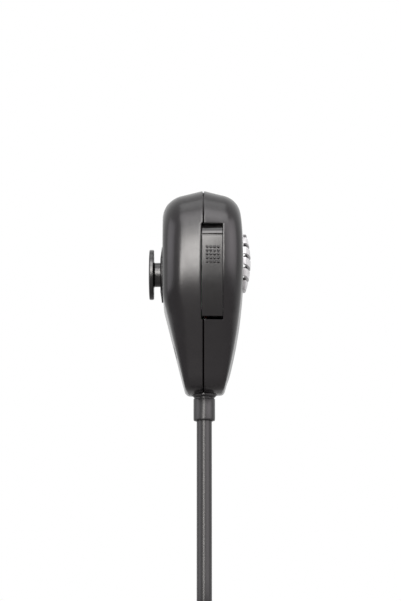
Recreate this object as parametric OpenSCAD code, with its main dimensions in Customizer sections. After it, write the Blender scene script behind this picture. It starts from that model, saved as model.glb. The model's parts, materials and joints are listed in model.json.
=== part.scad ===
// Hand microphone with a push-to-talk lever, a hang button and a curly cord with a round plug.
// Frame: +X out of the grille, -Y out of the lever, +Z up. The origin lies on the hang button's
// axis, half way along its neck. All lengths are in millimetres.

/* [Case] */
// Height of the top of the case above the hang button's axis
case_top = 34.5; // [34:0.1:36]
// Depth of the cord end of the case below the hang button's axis
case_bottom = 51.5; // [51:0.5:53]
// Half of the greatest width of the case
case_half_width = 30; // [29:0.5:33]
// Height at which the case is widest
widest_z = 5; // [4:0.5:7]
// Squareness of the shoulders: 2 is an ellipse, more is squarer
shoulder_power = 2.7; // [2.4:0.1:3]
// Half width of the case just above its lower corners
foot_half_width = 14.5; // [14:0.5:17]
// Height of the rounded lower corners
foot_corner = 7; // [6.5:0.5:8]
// Half width of the arched bottom between the lower corners
foot_arch_half = 8; // [7:0.5:9]
// How far that arch rises towards the corners
foot_arch_rise = 0.8; // [0.5:0.1:1.5]
// How steeply the sides still close in at the lower corners
foot_slope = 0.36; // [0.3:0.02:0.45]
// Depth of the rear half, behind the seam
rear_depth = 16.9; // [16.5:0.1:19]
// Depth of the rear half at the cord end
rear_foot_depth = 7.1; // [6.9:0.1:8.3]
// Height below which the back closes in towards the cord end
back_taper_z = -12.1; // [-14:0.1:-11]
// Height over which the back's bend is softened
back_bend = 2.5; // [1:0.5:4]
// Depth of the front half at its fullest
front_depth = 17; // [16.8:0.1:18.5]
// Height at which the front half is fullest
front_full_z = 4.7; // [3:0.1:6]
// Radius of the lengthwise curve of the front
front_curve_r = 195; // [185:1:220]
// How far the middle of the front stands above its edges
front_crown = 0.6; // [0:0.1:1]
// Wall of both halves of the case
wall = 2.2; // [1.8:0.1:2.5]

/* [Case edges] */
// Edge radius of the rear half along the sides
rear_side_r = 8.5; // [7:0.5:9]
// Edge radius of the rear half over the top
rear_top_r = 10.5; // [8:0.5:11]
// Edge radius of the front half along the sides
front_side_r = 9; // [7:0.5:10]
// Edge radius of the front half over the top
front_top_r = 8.5; // [7:0.5:9.5]
// Edge radius of both halves at the cord end
foot_r = 1.8; // [1.5:0.1:2.6]
// Draft angle of the rear half's sides
rear_side_draft = 3; // [1:0.5:6]
// Draft angle of the front half's sides
front_side_draft = 6; // [2:0.5:8]
// Draft angle of both halves over the top
top_draft = 15; // [8:1:18]
// Width of the groove along the seam
groove_w = 0.8; // [0.4:0.1:1.2]
// Depth of the groove along the seam
groove_depth = 1.3; // [0.6:0.1:1.6]

/* [Grille] */
// Height of the grille's centre above the hang button's axis
grille_z = 4.7; // [4:0.1:5.5]
// Outer radius of the grille
grille_r = 12.6; // [12.2:0.1:13.2]
// How far the grille's crown stands out of the case
grille_rise = 2.9; // [2:0.1:4]
// How far the grille's rim stands out of the case
grille_step = 0.7; // [0.3:0.1:1]
// How far the grille's axis tips down
grille_tilt = 1; // [0:0.5:4]
// Wall of the grille
grille_wall = 1.2; // [0.8:0.1:1.6]
// Distance from slot to slot
slot_pitch = 4.6; // [4:0.05:4.65]
// Height of each slot
slot_h = 1.6; // [1.2:0.1:1.7]
// How far the slots reach below the grille's rim
slot_sink = 0.4; // [0.2:0.1:0.8]
// How far the row of slots lies below the grille's middle
slot_drop = 0.85; // [0:0.05:1.2]
// Number of slots
slot_count = 6; // [4:1:6]
// Length of the grille's skirt inside the case
skirt_l = 2.9; // [2.4:0.1:3.2]
// Clearance round the grille's skirt
grille_clear = 0.15; // [0.1:0.05:0.2]
// Wall of the ring in the case that holds the grille
grille_ring_wall = 2.3; // [2:0.1:2.6]
// Distance from that ring's rim to the fullest part of the front
grille_ring_inset = 1.2; // [1:0.1:1.4]
// Thickness of the cloth behind the grille
cloth_t = 0.3; // [0.2:0.1:0.5]
// Width of the ledge that carries the cloth
ledge_w = 1.6; // [1.2:0.1:2]
// Distance from the seam to the back of that ledge
ledge_back = 12.2; // [11.8:0.1:12.6]

/* [Capsule] */
// Radius of the capsule's steel cup
cup_r = 11.4; // [10.5:0.1:11.8]
// Wall of the cup
cup_wall = 0.8; // [0.6:0.1:1]
// Wall of the rubber boot round the cup
boot_wall = 1.6; // [1.2:0.1:1.8]
// Length of the boot along the capsule's axis
boot_l = 8.5; // [8:0.1:8.8]
// Thickness of the boot's rear lip
boot_lip = 0.3; // [0.2:0.1:0.4]
// Radius of the magnet
magnet_r = 6; // [5:0.1:6.2]
// Thickness of the magnet
magnet_t = 3.5; // [3:0.1:3.8]
// Thickness of the pole plate on the magnet
pole_t = 1.2; // [1:0.1:1.4]
// Thickness of the voice coil's winding
coil_t = 0.5; // [0.4:0.1:0.7]
// Length of the voice coil
coil_l = 2.6; // [2:0.1:2.8]
// Gap between the voice coil and the magnet
coil_gap = 0.3; // [0.2:0.05:0.4]
// Thickness of the diaphragm
diaphragm_t = 0.2; // [0.1:0.05:0.3]
// Width of the ring that holds the diaphragm's edge
surround_w = 0.6; // [0.4:0.1:0.8]
// Thickness of that ring
surround_t = 1.2; // [1:0.1:1.3]
// Thickness of the capsule's perforated front
cup_front_t = 0.8; // [0.6:0.1:1]
// Radius of the holes in that front
cup_hole_r = 0.8; // [0.6:0.1:1]
// Distance from ring to ring of those holes
cup_hole_pitch = 2.9; // [2.7:0.1:3]
// Thickness of the clamp plate behind the boot
clamp_plate_t = 0.8; // [0.6:0.1:1]
// Distance from the capsule's axis to each clamp screw
clamp_reach = 17.5; // [17:0.1:18]

/* [Lever] */
// Left edge of the lever's slot, from the seam
slot_left = -1; // [-1.5:0.1:-0.8]
// Right edge of the lever's slot, from the seam
slot_right = 8.1; // [7.9:0.1:8.5]
// Top of the lever's slot
slot_top = 16.5; // [16.2:0.1:17]
// Bottom of the lever's slot
slot_bottom = -22.8; // [-23.3:0.1:-22.6]
// Gap between the lever and the slot on the left
lever_gap_left = 0.4; // [0.3:0.05:0.5]
// Gap between the lever and the slot on the right
lever_gap_right = 0.2; // [0.15:0.05:0.3]
// How far the lever stands out of the case at its fullest
lever_proud = 1.2; // [0.8:0.1:1.6]
// Height at which the lever is fullest
lever_full_z = 6; // [4:0.5:8]
// Radius of the lever's lengthwise curve
lever_curve_r = 64; // [58:1:72]
// Top edge of the thumb pad
pad_top = 10.9; // [10.6:0.1:11.2]
// Lower end of the lever
lever_end = -21.7; // [-21.9:0.1:-21.4]
// Height of the step from the thumb pad to the curved lip above it
lip_step = 0.9; // [0.6:0.1:1.1]
// Height of the groove between pad and lip
lip_groove = 0.7; // [0.5:0.1:0.9]
// Depth of that groove
lip_groove_depth = 0.5; // [0.3:0.1:0.7]
// Radius of the curved lip
lip_r = 3.5; // [3:0.1:3.7]
// Distance from the case's widest side to the lever's inner face
lever_inner = 4.2; // [3.8:0.1:4.5]
// Height of the lever's boss that meets the switch plunger
lever_boss_h = 3; // [2.4:0.1:3.2]
// Distance from the lever's inner face to the outside of its stop tab
tab_inset = 2.2; // [2.1:0.1:2.4]
// Thickness of the stop tab
tab_t = 1; // [0.8:0.1:1.2]
// How far the stop tab reaches past the top of the slot
tab_reach = 0.7; // [0.5:0.1:0.9]
// Distance from the pivot to the lever's heel
heel_inset = 1.2; // [1:0.1:1.4]
// Angle that the lever swings when it is pressed
lever_swing = 2.6; // [2:0.1:2.6]
// Rows of bumps on the thumb pad
bump_rows = 5; // [3:1:5]
// Columns of bumps on the thumb pad
bump_columns = 4; // [3:1:4]
// Distance from bump to bump
bump_pitch = 1.53; // [1.4:0.01:1.65]
// Radius of each bump
bump_r = 0.55; // [0.4:0.05:0.6]
// Height of each bump
bump_h = 0.35; // [0.2:0.05:0.5]
// Height of the middle row of bumps
bump_z = 2.9; // [2:0.1:4]
// Distance from the case's widest side to the pivot
pivot_inset = 9.4; // [9.2:0.1:9.7]
// Height of the pivot
pivot_z = -18.2; // [-18.5:0.1:-17.8]
// Radius of the pivot pin
pin_r = 1; // [0.8:0.05:1.2]
// Radius of the lever's knuckle round the pin
knuckle_r = 2.3; // [2.1:0.1:2.5]
// Running clearance between pin and lever
pin_clear = 0.05; // [0.03:0.01:0.08]
// Thickness of the ears that carry the pin
ear_t = 2.5; // [2:0.1:3]
// Height and width of those ears
ear_w = 5; // [4.6:0.1:5.2]
// Gap between each ear and the lever's slot
ear_gap = 0.3; // [0.2:0.05:0.4]
// How far the slot is cut past the pivot
slot_past_pivot = 0.3; // [0.2:0.1:0.5]

/* [Switch] */
// Width of the switch body along the case's depth
switch_w = 5.8; // [5.4:0.1:6]
// Height of the switch body, from its terminals to its plunger side
switch_h = 6.5; // [6:0.1:6.6]
// Length of the switch body
switch_l = 12.8; // [12:0.1:12.8]
// Distance from the case's widest side to the switch body
switch_inset = 8; // [7.9:0.1:8.2]
// Height of the switch plunger
switch_z = 7.4; // [7.2:0.1:7.5]
// Distance that the plunger stands out at rest
plunger_out = 1.7; // [1.6:0.1:1.9]
// Depth of the plunger's pocket in the switch body
plunger_in = 4; // [3.8:0.1:4.4]
// Gap between the plunger and the lever at rest
plunger_gap = 0.15; // [0.1:0.05:0.2]
// Width of the plunger
plunger_w = 2.9; // [2.6:0.1:3.2]
// Height of the plunger
plunger_h = 1.6; // [1.4:0.1:1.8]
// Clearance round the plunger
plunger_clear = 0.05; // [0.03:0.01:0.08]
// Thickness of a switch terminal
terminal_t = 0.5; // [0.4:0.1:0.6]
// Width of a switch terminal
terminal_w = 1.4; // [1.2:0.1:1.6]
// Distance from terminal to terminal
terminal_pitch = 4.6; // [4.4:0.1:4.8]
// Length of a terminal behind the switch
terminal_l = 2; // [1.6:0.1:2.2]
// Distance from the board to the upper side of a terminal
terminal_up = 1.7; // [1.5:0.1:1.9]
// Distance from the switch's back to its screws
switch_screw_inset = 1.7; // [1.6:0.1:1.8]
// Distance between the switch screws
switch_screw_pitch = 6.5; // [6.4:0.1:6.8]
// Outer radius of the return spring
spring_r = 2.1; // [1.8:0.1:2.2]
// Radius of the return spring's wire
spring_wire_r = 0.25; // [0.2:0.05:0.3]
// Turns of the return spring
spring_turns = 5; // [4:1:5]
// Height of the return spring's axis
spring_z = -5.5; // [-6:0.1:-5]
// Distance from the case's widest side to the spring's inner seat
spring_seat_inset = 10.5; // [10.2:0.1:10.8]
// Thickness of the rib that the spring seats on
spring_rib_t = 2; // [1.6:0.1:2.2]
// Width of that rib
spring_rib_w = 6; // [5.4:0.1:6.4]

/* [Board] */
// Thickness of the circuit board
board_t = 1.6; // [1.2:0.1:1.8]
// Distance from the case's widest side to the board's edge beside the lever
board_inset = 12.2; // [12:0.1:13]
// Distance from the case's widest side to the board's far edge
board_far_inset = 11.5; // [11:0.1:12.5]
// Lower edge of the board
board_low = -24.5; // [-25:0.1:-24]
// Upper edge of the board
board_high = 14; // [13.9:0.1:14.2]
// Distance of the board's upper screw from its right edge
board_screw_inset = 3.5; // [3:0.1:4]
// Height of the board's upper screw
board_screw_high = 6; // [4:0.1:7]
// Height of the board's lower screws
board_screw_low = -20.5; // [-21:0.1:-20]
// Radius of the capacitor
capacitor_r = 2.6; // [2:0.1:2.8]
// Height of the capacitor
capacitor_l = 6.5; // [5:0.1:7]
// Radius of a resistor
resistor_r = 1.1; // [0.9:0.1:1.2]
// Length of a resistor
resistor_l = 6; // [5:0.1:6.4]
// Distance from resistor to resistor
resistor_pitch = 3.2; // [3:0.1:3.4]
// Length of a resistor's lead at each end
lead_l = 1.2; // [1:0.1:1.4]
// Thickness of that lead
lead_t = 0.6; // [0.5:0.1:0.7]
// Width of the level trimmer
trimmer_w = 6; // [5:0.1:6.4]
// Thickness of the level trimmer
trimmer_t = 3; // [2.6:0.1:3.2]
// Radius of the trimmer's knob
trimmer_knob_r = 1.9; // [1.6:0.1:2.2]
// How far that knob stands out
trimmer_knob_out = 0.8; // [0.6:0.1:1]

/* [Hang button] */
// Radius of the hang button's disc
disc_r = 10.55; // [10:0.05:11]
// Thickness of the disc
disc_t = 2.3; // [2:0.1:2.6]
// How far the disc's outer face is domed
disc_dome = 0.35; // [0.1:0.05:0.5]
// Radius of the disc's edges
disc_edge = 0.5; // [0.3:0.1:0.7]
// Radius of the hang button's neck
neck_r = 5.1; // [4.8:0.1:5.5]
// Gap between disc and base plate, where a bracket goes in
neck_gap = 2.7; // [2.4:0.1:3.2]
// Radius of the fillets on the neck
neck_fillet = 0.6; // [0.3:0.1:0.8]
// Radius of the base plate
base_r = 11.75; // [11.4:0.05:12]
// Thickness of the base plate in its middle
base_t = 1.1; // [0.9:0.1:1.3]
// Thickness of the base plate at its rim
base_rim_t = 0.5; // [0.3:0.1:0.7]
// Radius of the base plate's raised middle
base_middle_r = 7.5; // [7:0.1:8]
// Radius of the nub that keeps the base plate from turning
nub_r = 0.7; // [0.5:0.1:0.9]
// Distance of the nub from the button's axis
nub_reach = 9.1; // [8.4:0.1:9.4]
// Radius of the hang button's screw
hang_screw_r = 2; // [1.8:0.1:2.2]
// Depth of that screw in the button
hang_screw_bite = 4; // [3.5:0.1:4.2]
// Radius of that screw's head
hang_head_r = 3.4; // [3:0.1:3.6]
// Height of that screw's head
hang_head_h = 2.2; // [1.8:0.1:2.4]
// Radius of the washer under that screw's head
washer_r = 4.2; // [4:0.1:4.6]
// Thickness of that washer
washer_t = 0.6; // [0.5:0.1:0.8]
// Height of the seat in the case under the washer
hang_seat_t = 2; // [1.6:0.1:2.4]

/* [Screws] */
// Radius of the case screws
case_screw_r = 1.3; // [1.2:0.05:1.4]
// Length of the case screws under the head
case_screw_l = 13; // [12:0.5:14]
// Radius of a case screw's head
case_head_r = 2.5; // [2.3:0.1:2.6]
// Height of a case screw's head
case_head_h = 1.8; // [1.5:0.1:2]
// Clearance round that head
head_clear = 0.4; // [0.3:0.05:0.5]
// Material left under the head of a case screw
case_web = 6; // [5:0.5:7]
// Radius of the bosses round the case screws
case_boss_r = 4.2; // [4:0.1:4.4]
// Radius of the bosses in the front half that the case screws bite into
case_front_boss_r = 3.6; // [3.4:0.1:3.8]
// Distance of the upper case screws from the middle
case_screw_y = 13; // [12.8:0.1:13.5]
// Height of the upper case screws
case_screw_high = 25; // [24.8:0.1:25.2]
// Height of the lower case screw
case_screw_low = -33; // [-33.5:0.1:-32.5]
// Radius of the small screws
small_screw_r = 0.9; // [0.8:0.05:1]
// Length of the small screws
small_screw_l = 6; // [5.5:0.1:6.2]
// Radius of a small screw's head
small_head_r = 1.8; // [1.6:0.1:1.9]
// Height of a small screw's head
small_head_h = 1.3; // [1.1:0.1:1.4]
// Thickness of the nuts on the switch screws
nut_t = 1.2; // [1:0.1:1.4]
// Radius of the posts for the small screws
post_r = 2.6; // [2.4:0.1:2.8]
// Clearance round a screw in the hole that it passes through
screw_clear = 0.15; // [0.1:0.05:0.2]
// Clearance round a screw in the hole that it bites into
bite_clear = 0.02; // [0.01:0.01:0.03]

/* [Cord] */
// Radius of the cord
cord_r = 3.2; // [2.9:0.1:3.3]
// Distance of the cord's axis from the seam
cord_offset = 0.4; // [0:0.1:0.5]
// Radius of the rubber sleeve
sleeve_r = 4.5; // [4.3:0.1:4.8]
// Length of the sleeve below the case
sleeve_l = 10.3; // [9:0.1:12]
// Chamfer at the sleeve's lower end
sleeve_chamfer = 0.5; // [0.2:0.1:0.8]
// Radius of the sleeve where it passes the case wall
sleeve_neck_r = 3.9; // [3.8:0.05:4]
// Radius of the sleeve's flange inside the case
sleeve_flange_r = 5.3; // [5:0.1:5.6]
// Thickness of that flange
sleeve_flange_t = 1.6; // [1.2:0.1:2]
// Clearance between the sleeve and what it passes
sleeve_clear = 0.1; // [0.05:0.05:0.15]
// Radius of the round recess in the case round the sleeve
foot_recess_r = 5.3; // [5.1:0.1:5.6]
// Depth of that recess
foot_recess = 1; // [0.6:0.1:1.2]
// Height of the cord's cut end inside the case
cord_end_z = -39; // [-39.5:0.1:-38.5]
// Height of the cord clamp
cord_clamp_z = -43.3; // [-43.5:0.1:-43]
// Distance of the clamp's screws from the cord's axis
cord_clamp_reach = 6.6; // [6.4:0.1:6.8]
// Thickness of the clamp bar
cord_clamp_t = 1.6; // [1.4:0.1:1.8]
// Width of the clamp bar
cord_clamp_w = 5; // [4.6:0.1:5.4]
// Radius of the posts for the clamp's screws
clamp_post_r = 2.2; // [2:0.1:2.4]
// Radius of the wires inside the cord
wire_r = 0.6; // [0.5:0.05:0.7]

/* [Curly cord] */
// Outer radius of the curly cord's coils
coil_r = 9.4; // [9:0.1:9.8]
// Distance from run to run of the folded cord
run_gap = 24; // [23:0.5:26]
// Height of the tie round the folded cord
tie_h = 10; // [8:0.5:12]
// Thickness of the tie
tie_t = 1.6; // [1.2:0.1:2]
// Clearance between the tie and the coils
tie_clear = 0.15; // [0.1:0.05:0.3]

/* [Plug] */
// Radius of the plug's shell
plug_r = 7.6; // [7.4:0.1:7.8]
// Length of the plug's shell
plug_l = 26; // [24:0.5:30]
// Depth of the step that carries the coupling ring
shoulder_step = 1.2; // [1:0.1:1.3]
// Length of that step, with the collar under it
shoulder_l = 5; // [4.6:0.1:5.4]
// Length of the rubber grommet
grommet_l = 6; // [5.5:0.1:6.5]
// Wall of the grommet
grommet_wall = 1.4; // [1.2:0.1:1.6]
// Distance from the shell's side to the clamp's inner face
plug_clamp_inset = 3.4; // [3.2:0.1:3.6]
// Thickness of the clamp
plug_clamp_t = 2; // [1.6:0.1:2.2]
// Distance from the shell's side to the clamp's screws
plug_screw_inset = 1.7; // [1.6:0.1:1.8]
// Length of the clamp's screws
plug_screw_l = 5; // [4:0.5:6]
// Height of the heads of the clamp's screws
plug_head_h = 1; // [0.8:0.1:1.2]
// Radius of the plug's barrel, which enters the socket
barrel_r = 6.3; // [6.1:0.1:6.4]
// Wall of that barrel
barrel_wall = 0.8; // [0.6:0.1:1]
// Length of that barrel below the shell
barrel_l = 6; // [5.5:0.1:7]
// Thickness of the contact insert
insert_t = 8; // [7:0.1:8.4]
// Distance from the barrel's end to the insert
insert_inset = 0.6; // [0.4:0.1:0.8]
// Radius of a contact
contact_r = 0.8; // [0.7:0.05:0.9]
// Wall of a hollow contact
contact_wall = 0.25; // [0.2:0.05:0.3]
// Length of a contact's tail behind the insert
contact_tail = 2; // [1.5:0.1:2.5]
// Radius of the ring of seven contacts
contact_ring_r = 3.8; // [3.6:0.1:4]
// Outer radius of the coupling ring
ring_r = 9.4; // [9.2:0.1:9.8]
// Length of the coupling ring
ring_l = 12; // [11:0.5:13]
// Radius of the thread inside the coupling ring
ring_thread_r = 7.75; // [7.7:0.05:7.8]
// Running clearance between the coupling ring and the shell
ring_clear = 0.1; // [0.05:0.01:0.1]
// Thickness of the coupling ring's inner lip
ring_lip = 1.6; // [1.4:0.1:1.8]
// Gap between the coupling ring and the shell above it
ring_gap = 0.3; // [0.2:0.05:0.4]
// Teeth of the coupling ring's knurl
knurl_count = 36; // [24:4:40]
// Depth of the knurl
knurl_depth = 0.4; // [0.2:0.05:0.5]

/* [Hidden] */
function numbered(name, count) = [for (i = [1:count]) str(name, "_", i)];

// Smoothness of round faces
$fn = 64;
// How far a cut runs past the face that it opens, how far a post roots in the wall behind it, and
// the least overlap that joins two shapes
past = 1;
root = 0.9;
eps = 0.01;

// Where the halves of the case meet, counted from the origin in the hang button's neck
seam_x = rear_depth + base_t + neck_gap / 2;
back_x = seam_x - rear_depth;
foot_z = -case_bottom;
corner_z = foot_z + foot_corner;
// Ends of the upright line inside the case that its edges and faces lean towards
spine_high = widest_z + 4;
spine_low = foot_z + 9;
// Height below which the edges narrow towards the cord end, and the least radius they may have
foot_blend_z = -20;
least_r = 0.8;

// Steps of the case's skin round its outline and across its edges
top_steps = 9;
side_steps = 4;
taper_steps = 5;
corner_steps = 3;
foot_steps = 3;
outer_rows = [-2, -1, 0.5, 1, 1.25, 1.5, 1.75, 2];
inner_rows = [0, 1, 1.35, 1.7, 2];
crown_row = 2.5;

function mix(a, b, t) = a + (b - a) * t;
function share(t) = max(0, min(1, t));
function unit(v) = v / norm(v);
function sagitta(r, chord) = r - sqrt(r * r - chord * chord);

// ---- The case's form ----

// Half width of the case's side at height z, inset by some distance
function side_width(z, inset) =
    let (l = widest_z - corner_z, u = (widest_z - z) / l,
        ease = 3 * u * u - 2 * u * u * u)
    mix(case_half_width - inset, foot_half_width - inset, ease) + foot_slope * l * (u * u - u * u * u);

// Right half of the outline, as [y, z], from the top's middle to the foot's middle
function half_outline(inset) =
    let (a = case_half_width - inset, b = case_top - widest_z - inset, e = 2 / shoulder_power,
        w = foot_half_width - inset, z0 = foot_z + inset, pitch = 2 * foot_arch_rise / foot_arch_half,
        p0 = [w, corner_z], p2 = [foot_arch_half, z0 + foot_arch_rise],
        y1 = (w - foot_slope * (corner_z - p2[1] + pitch * p2[0])) / (1 - foot_slope * pitch),
        p1 = [y1, p2[1] + pitch * (y1 - p2[0])])
    concat(
        [for (i = [0:top_steps - 1]) let (t = 90 * (1 - i / top_steps))
            [a * pow(cos(t), e), widest_z + b * pow(sin(t), e)]],
        [for (i = [0:side_steps - 1]) let (z = mix(widest_z, back_taper_z, i / side_steps))
            [side_width(z, inset), z]],
        [for (i = [0:taper_steps - 1]) let (z = mix(back_taper_z, corner_z, i / taper_steps))
            [side_width(z, inset), z]],
        [for (i = [0:corner_steps - 1]) let (t = i / corner_steps)
            (1 - t) * (1 - t) * p0 + 2 * t * (1 - t) * p1 + t * t * p2],
        [for (i = [0:foot_steps]) let (t = 1 - i / foot_steps) [t * p2[0], z0 + foot_arch_rise * t * t]]);

function outline(inset) =
    let (half = half_outline(inset), last = len(half) - 1)
    concat(half, [for (i = [last - 1:-1:1]) [-half[i][0], half[i][1]]]);

// Distance from the seam to the back (side -1) or the front (side 1) at height z
function back_at(z) =
    let (slope = (rear_depth - rear_foot_depth) / (back_taper_z + case_bottom), t = back_taper_z - z)
    rear_depth - slope * (abs(t) < back_bend ? pow(t + back_bend, 2) / (4 * back_bend) : max(t, 0));
function front_at(z) = front_depth - sagitta(front_curve_r, z - front_full_z);
function depth_at(side, z) = side < 0 ? back_at(z) : front_at(z);

function upness(z) = pow(share((z - widest_z) / (case_top - widest_z)), 2);
function lowness(z) = share((foot_blend_z - z) / (foot_blend_z - foot_z));
function edge_r(side, z) =
    let (along = side < 0 ? rear_side_r : front_side_r, over = side < 0 ? rear_top_r : front_top_r)
    mix(mix(along, over, upness(z)), foot_r, lowness(z));
function draft(side, z) = mix(side < 0 ? rear_side_draft : front_side_draft, top_draft, upness(z));

// One ring of a skin that lies an inset inside the case. q picks the ring: -2 and -1 are the seam
// groove, 0 to 1 the drafted side, 1 to 2 the rounded edge, and above 2 the face towards its middle
function skin_ring(side, inset, q) =
    [for (p = outline(inset))
        let (z = p[1], d = depth_at(side, z) - inset, a = draft(side, z),
            r = max(edge_r(side, z) - inset, least_r), straight = d - r * (1 - sin(a)),
            turn = mix(a, 90, share(q - 1)),
            to_spine = [0, max(min(z, spine_high), spine_low)] - p,
            edge_in = straight * tan(a) + r * (cos(a) - cos(turn)),
            out = q == -2 ? 0 : q == -1 ? groove_w / 2 : q < 1 ? q * straight
                : straight + r * (sin(turn) - sin(a)),
            in = q == -2 ? groove_depth : q < 1 ? out * tan(a)
                : q <= 2 ? edge_in : mix(edge_in, norm(to_spine), q - 2),
            at = p + in * unit(to_spine),
            crown = side < 0 ? 0 : front_crown * pow(1 - share(q - 2), 2))
        [seam_x + side * (depth_at(side, at[1]) - inset - crown) * out / d, at[0], at[1]]];

// Closed skin of one half of the case: outer face, rim at the seam, inner face
module half_skin(side) {
    face = side < 0 ? [] : [crown_row];
    rings = concat(
        [for (q = face) skin_ring(side, 0, q)],
        [for (i = [len(outer_rows) - 1:-1:0]) skin_ring(side, 0, outer_rows[i])],
        [for (q = inner_rows) skin_ring(side, wall, q)],
        [for (q = face) skin_ring(side, wall, q)]);
    n = len(rings[0]);
    h = n / 2;
    last = len(rings) - 1;
    sides = [for (k = [0:last - 1], i = [0:n - 1]) let (j = (i + 1) % n)
        [(k + 1) * n + i, (k + 1) * n + j, k * n + j, k * n + i]];
    function ladder(s) = [for (i = [0:h - 1])
        i == 0 ? [s, s + 1, s + n - 1] : i == h - 1 ? [s + i, s + h, s + n - i]
        : [s + i, s + i + 1, s + n - i - 1, s + n - i]];
    function turned(f) = [for (v = f) [for (i = [len(v) - 1:-1:0]) v[i]]];
    faces = concat(sides, ladder(0), turned(ladder(last * n)));
    polyhedron(points = [for (r = rings) for (p = r) p],
        faces = side < 0 ? turned(faces) : faces, convexity = 8);
}

// ---- Helpers ----

module at_seam(x, y, z) translate([seam_x + x, y, z]) children();
module rod_x(x0, x1, r) translate([x0, 0, 0]) rotate([0, 90, 0]) cylinder(r = r, h = x1 - x0);
module tube_x(x0, x1, r, bore) difference() {
    rod_x(x0, x1, r);
    rod_x(x0 - past, x1 + past, bore);
}
// Post on the inside of the back's wall at [y, z] = p, up to x1
module back_post(p, x1, r) translate([0, p[0], p[1]]) rod_x(seam_x - back_at(p[1]) + wall - root, x1, r);

// Pan head screw along +X: the head's seat lies at x = 0 and the shank runs to -X
cross_length = 1.1;
cross_width = 0.28;
module pan_screw(r, l, head_r, head_h) difference() {
    union() {
        rod_x(-l, eps, r);
        rod_x(0, head_h, head_r);
    }
    for (a = [0, 90])
        translate([head_h, 0, 0]) rotate([a, 0, 0])
            cube([head_h, head_r * cross_length, head_r * cross_width], center = true);
}
module small_screw(l) pan_screw(small_screw_r, l, small_head_r, small_head_h);

// Round tube along a route of points. The route never runs along the direction across
function tangents(p) = [for (i = [0:len(p) - 1]) unit(p[min(i + 1, len(p) - 1)] - p[max(i - 1, 0)])];
module sweep(route, r, sides, across = [1, 0, 0]) {
    t = tangents(route);
    n = len(route);
    points = [for (i = [0:n - 1]) let (u = unit(cross(t[i], across)), v = cross(t[i], u))
        for (j = [0:sides - 1]) route[i] + r * (cos(360 * j / sides) * u + sin(360 * j / sides) * v)];
    faces = concat(
        [for (i = [0:n - 2], j = [0:sides - 1]) let (k = (j + 1) % sides)
            [i * sides + k, i * sides + j, (i + 1) * sides + j, (i + 1) * sides + k]],
        [[for (j = [0:sides - 1]) j]],
        [[for (j = [sides - 1:-1:0]) (n - 1) * sides + j]]);
    polyhedron(points = points, faces = faces, convexity = 6);
}

// ---- Case ----

pilot_r = small_screw_r + bite_clear;
small_hole_r = small_screw_r + screw_clear;
case_screws_at = [[case_screw_y, case_screw_high], [-case_screw_y, case_screw_high], [0, case_screw_low]];
case_bite = case_screw_l - case_web + past;
board_left = -(case_half_width - board_inset);
board_right = case_half_width - board_far_inset;
board_screw_y = board_right - board_screw_inset;
board_screws_at = [[board_screw_y, board_screw_high], [board_screw_y - 1, board_screw_low],
    [1 - board_screw_y, board_screw_low]];

pivot_y = -(case_half_width - pivot_inset);
left_ear_x = slot_left - ear_gap - ear_t;
right_ear_x = slot_right + ear_gap;

grille_open_r = grille_r + grille_clear;
cloth_back = -(skirt_l + cloth_t);

capsule_back = ledge_back - boot_l;
clamp_back = capsule_back - clamp_plate_t;
capsule_screws_at = [grille_z + clamp_reach, grille_z - clamp_reach];

spring_seat_y = -(case_half_width - spring_seat_inset);
spring_x = (slot_left + slot_right) / 2;

sleeve_end_z = foot_z - sleeve_l;
flange_z = foot_z + wall;
cord_x = seam_x + cord_offset;
cord_clamps_at = [cord_clamp_reach, -cord_clamp_reach];

// Block that carries one end of the pivot pin and grows out of the case's side, from x0 on beside
// the seam
module pin_ear(x0) {
    low = pivot_z - ear_w / 2;
    in_wall = -side_width(low, wall / 2);
    at_seam(x0, in_wall, low) cube([ear_t, pivot_y + ear_w / 2 - in_wall, ear_w]);
}

// Slot of the lever, way out of the cord, and bore of the pivot pin, in both halves
module shell_cuts() {
    at_seam(slot_left, -case_half_width - past, slot_bottom)
        cube([slot_right - slot_left, past + pivot_inset + slot_past_pivot, slot_top - slot_bottom]);
    translate([cord_x, 0, foot_z]) {
        translate([0, 0, -past]) cylinder(r = sleeve_neck_r + sleeve_clear, h = wall + 2 * past);
        translate([0, 0, wall]) cylinder(r = sleeve_flange_r + sleeve_clear, h = sleeve_flange_t + past);
        translate([0, 0, -past]) cylinder(r = foot_recess_r, h = foot_recess + past);
    }
    translate([0, pivot_y, pivot_z])
        rod_x(seam_x + left_ear_x - past, seam_x + right_ear_x + ear_t + past, pin_r + bite_clear);
}

module rear_shell() color([0.07, 0.07, 0.075]) difference() {
    union() {
        half_skin(-1);
        for (p = case_screws_at) back_post(p, seam_x, case_boss_r);
        for (p = board_screws_at) back_post(p, seam_x - board_t, post_r);
        for (y = cord_clamps_at) back_post([y, cord_clamp_z], cord_x + cord_r, clamp_post_r);
        at_seam(wall - root - back_at(cord_clamp_z), -cord_clamp_reach, cord_clamp_z - cord_clamp_w / 2)
            cube([back_at(cord_clamp_z) - wall + root + cord_offset - cord_r,
                2 * cord_clamp_reach, cord_clamp_w]);
        back_post([0, 0], back_x + wall + hang_seat_t, washer_r + 1);
        pin_ear(left_ear_x);
    }
    shell_cuts();
    for (p = case_screws_at) translate([0, p[0], p[1]]) {
        rod_x(seam_x - case_web, seam_x + past, case_screw_r + screw_clear);
        rod_x(back_x - past, seam_x - case_web, case_head_r + head_clear);
    }
    for (p = board_screws_at) at_seam(-board_t, p[0], p[1]) rod_x(-small_screw_l, past, pilot_r);
    for (y = cord_clamps_at) translate([cord_x + cord_r, y, cord_clamp_z])
        rod_x(-small_screw_l, past, pilot_r);
    rod_x(back_x - past, hang_seat_x, hang_screw_r + screw_clear);
    translate([0, 0, -nub_reach]) rod_x(back_x - past, back_x + nub_l, nub_r + screw_clear);
}

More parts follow.
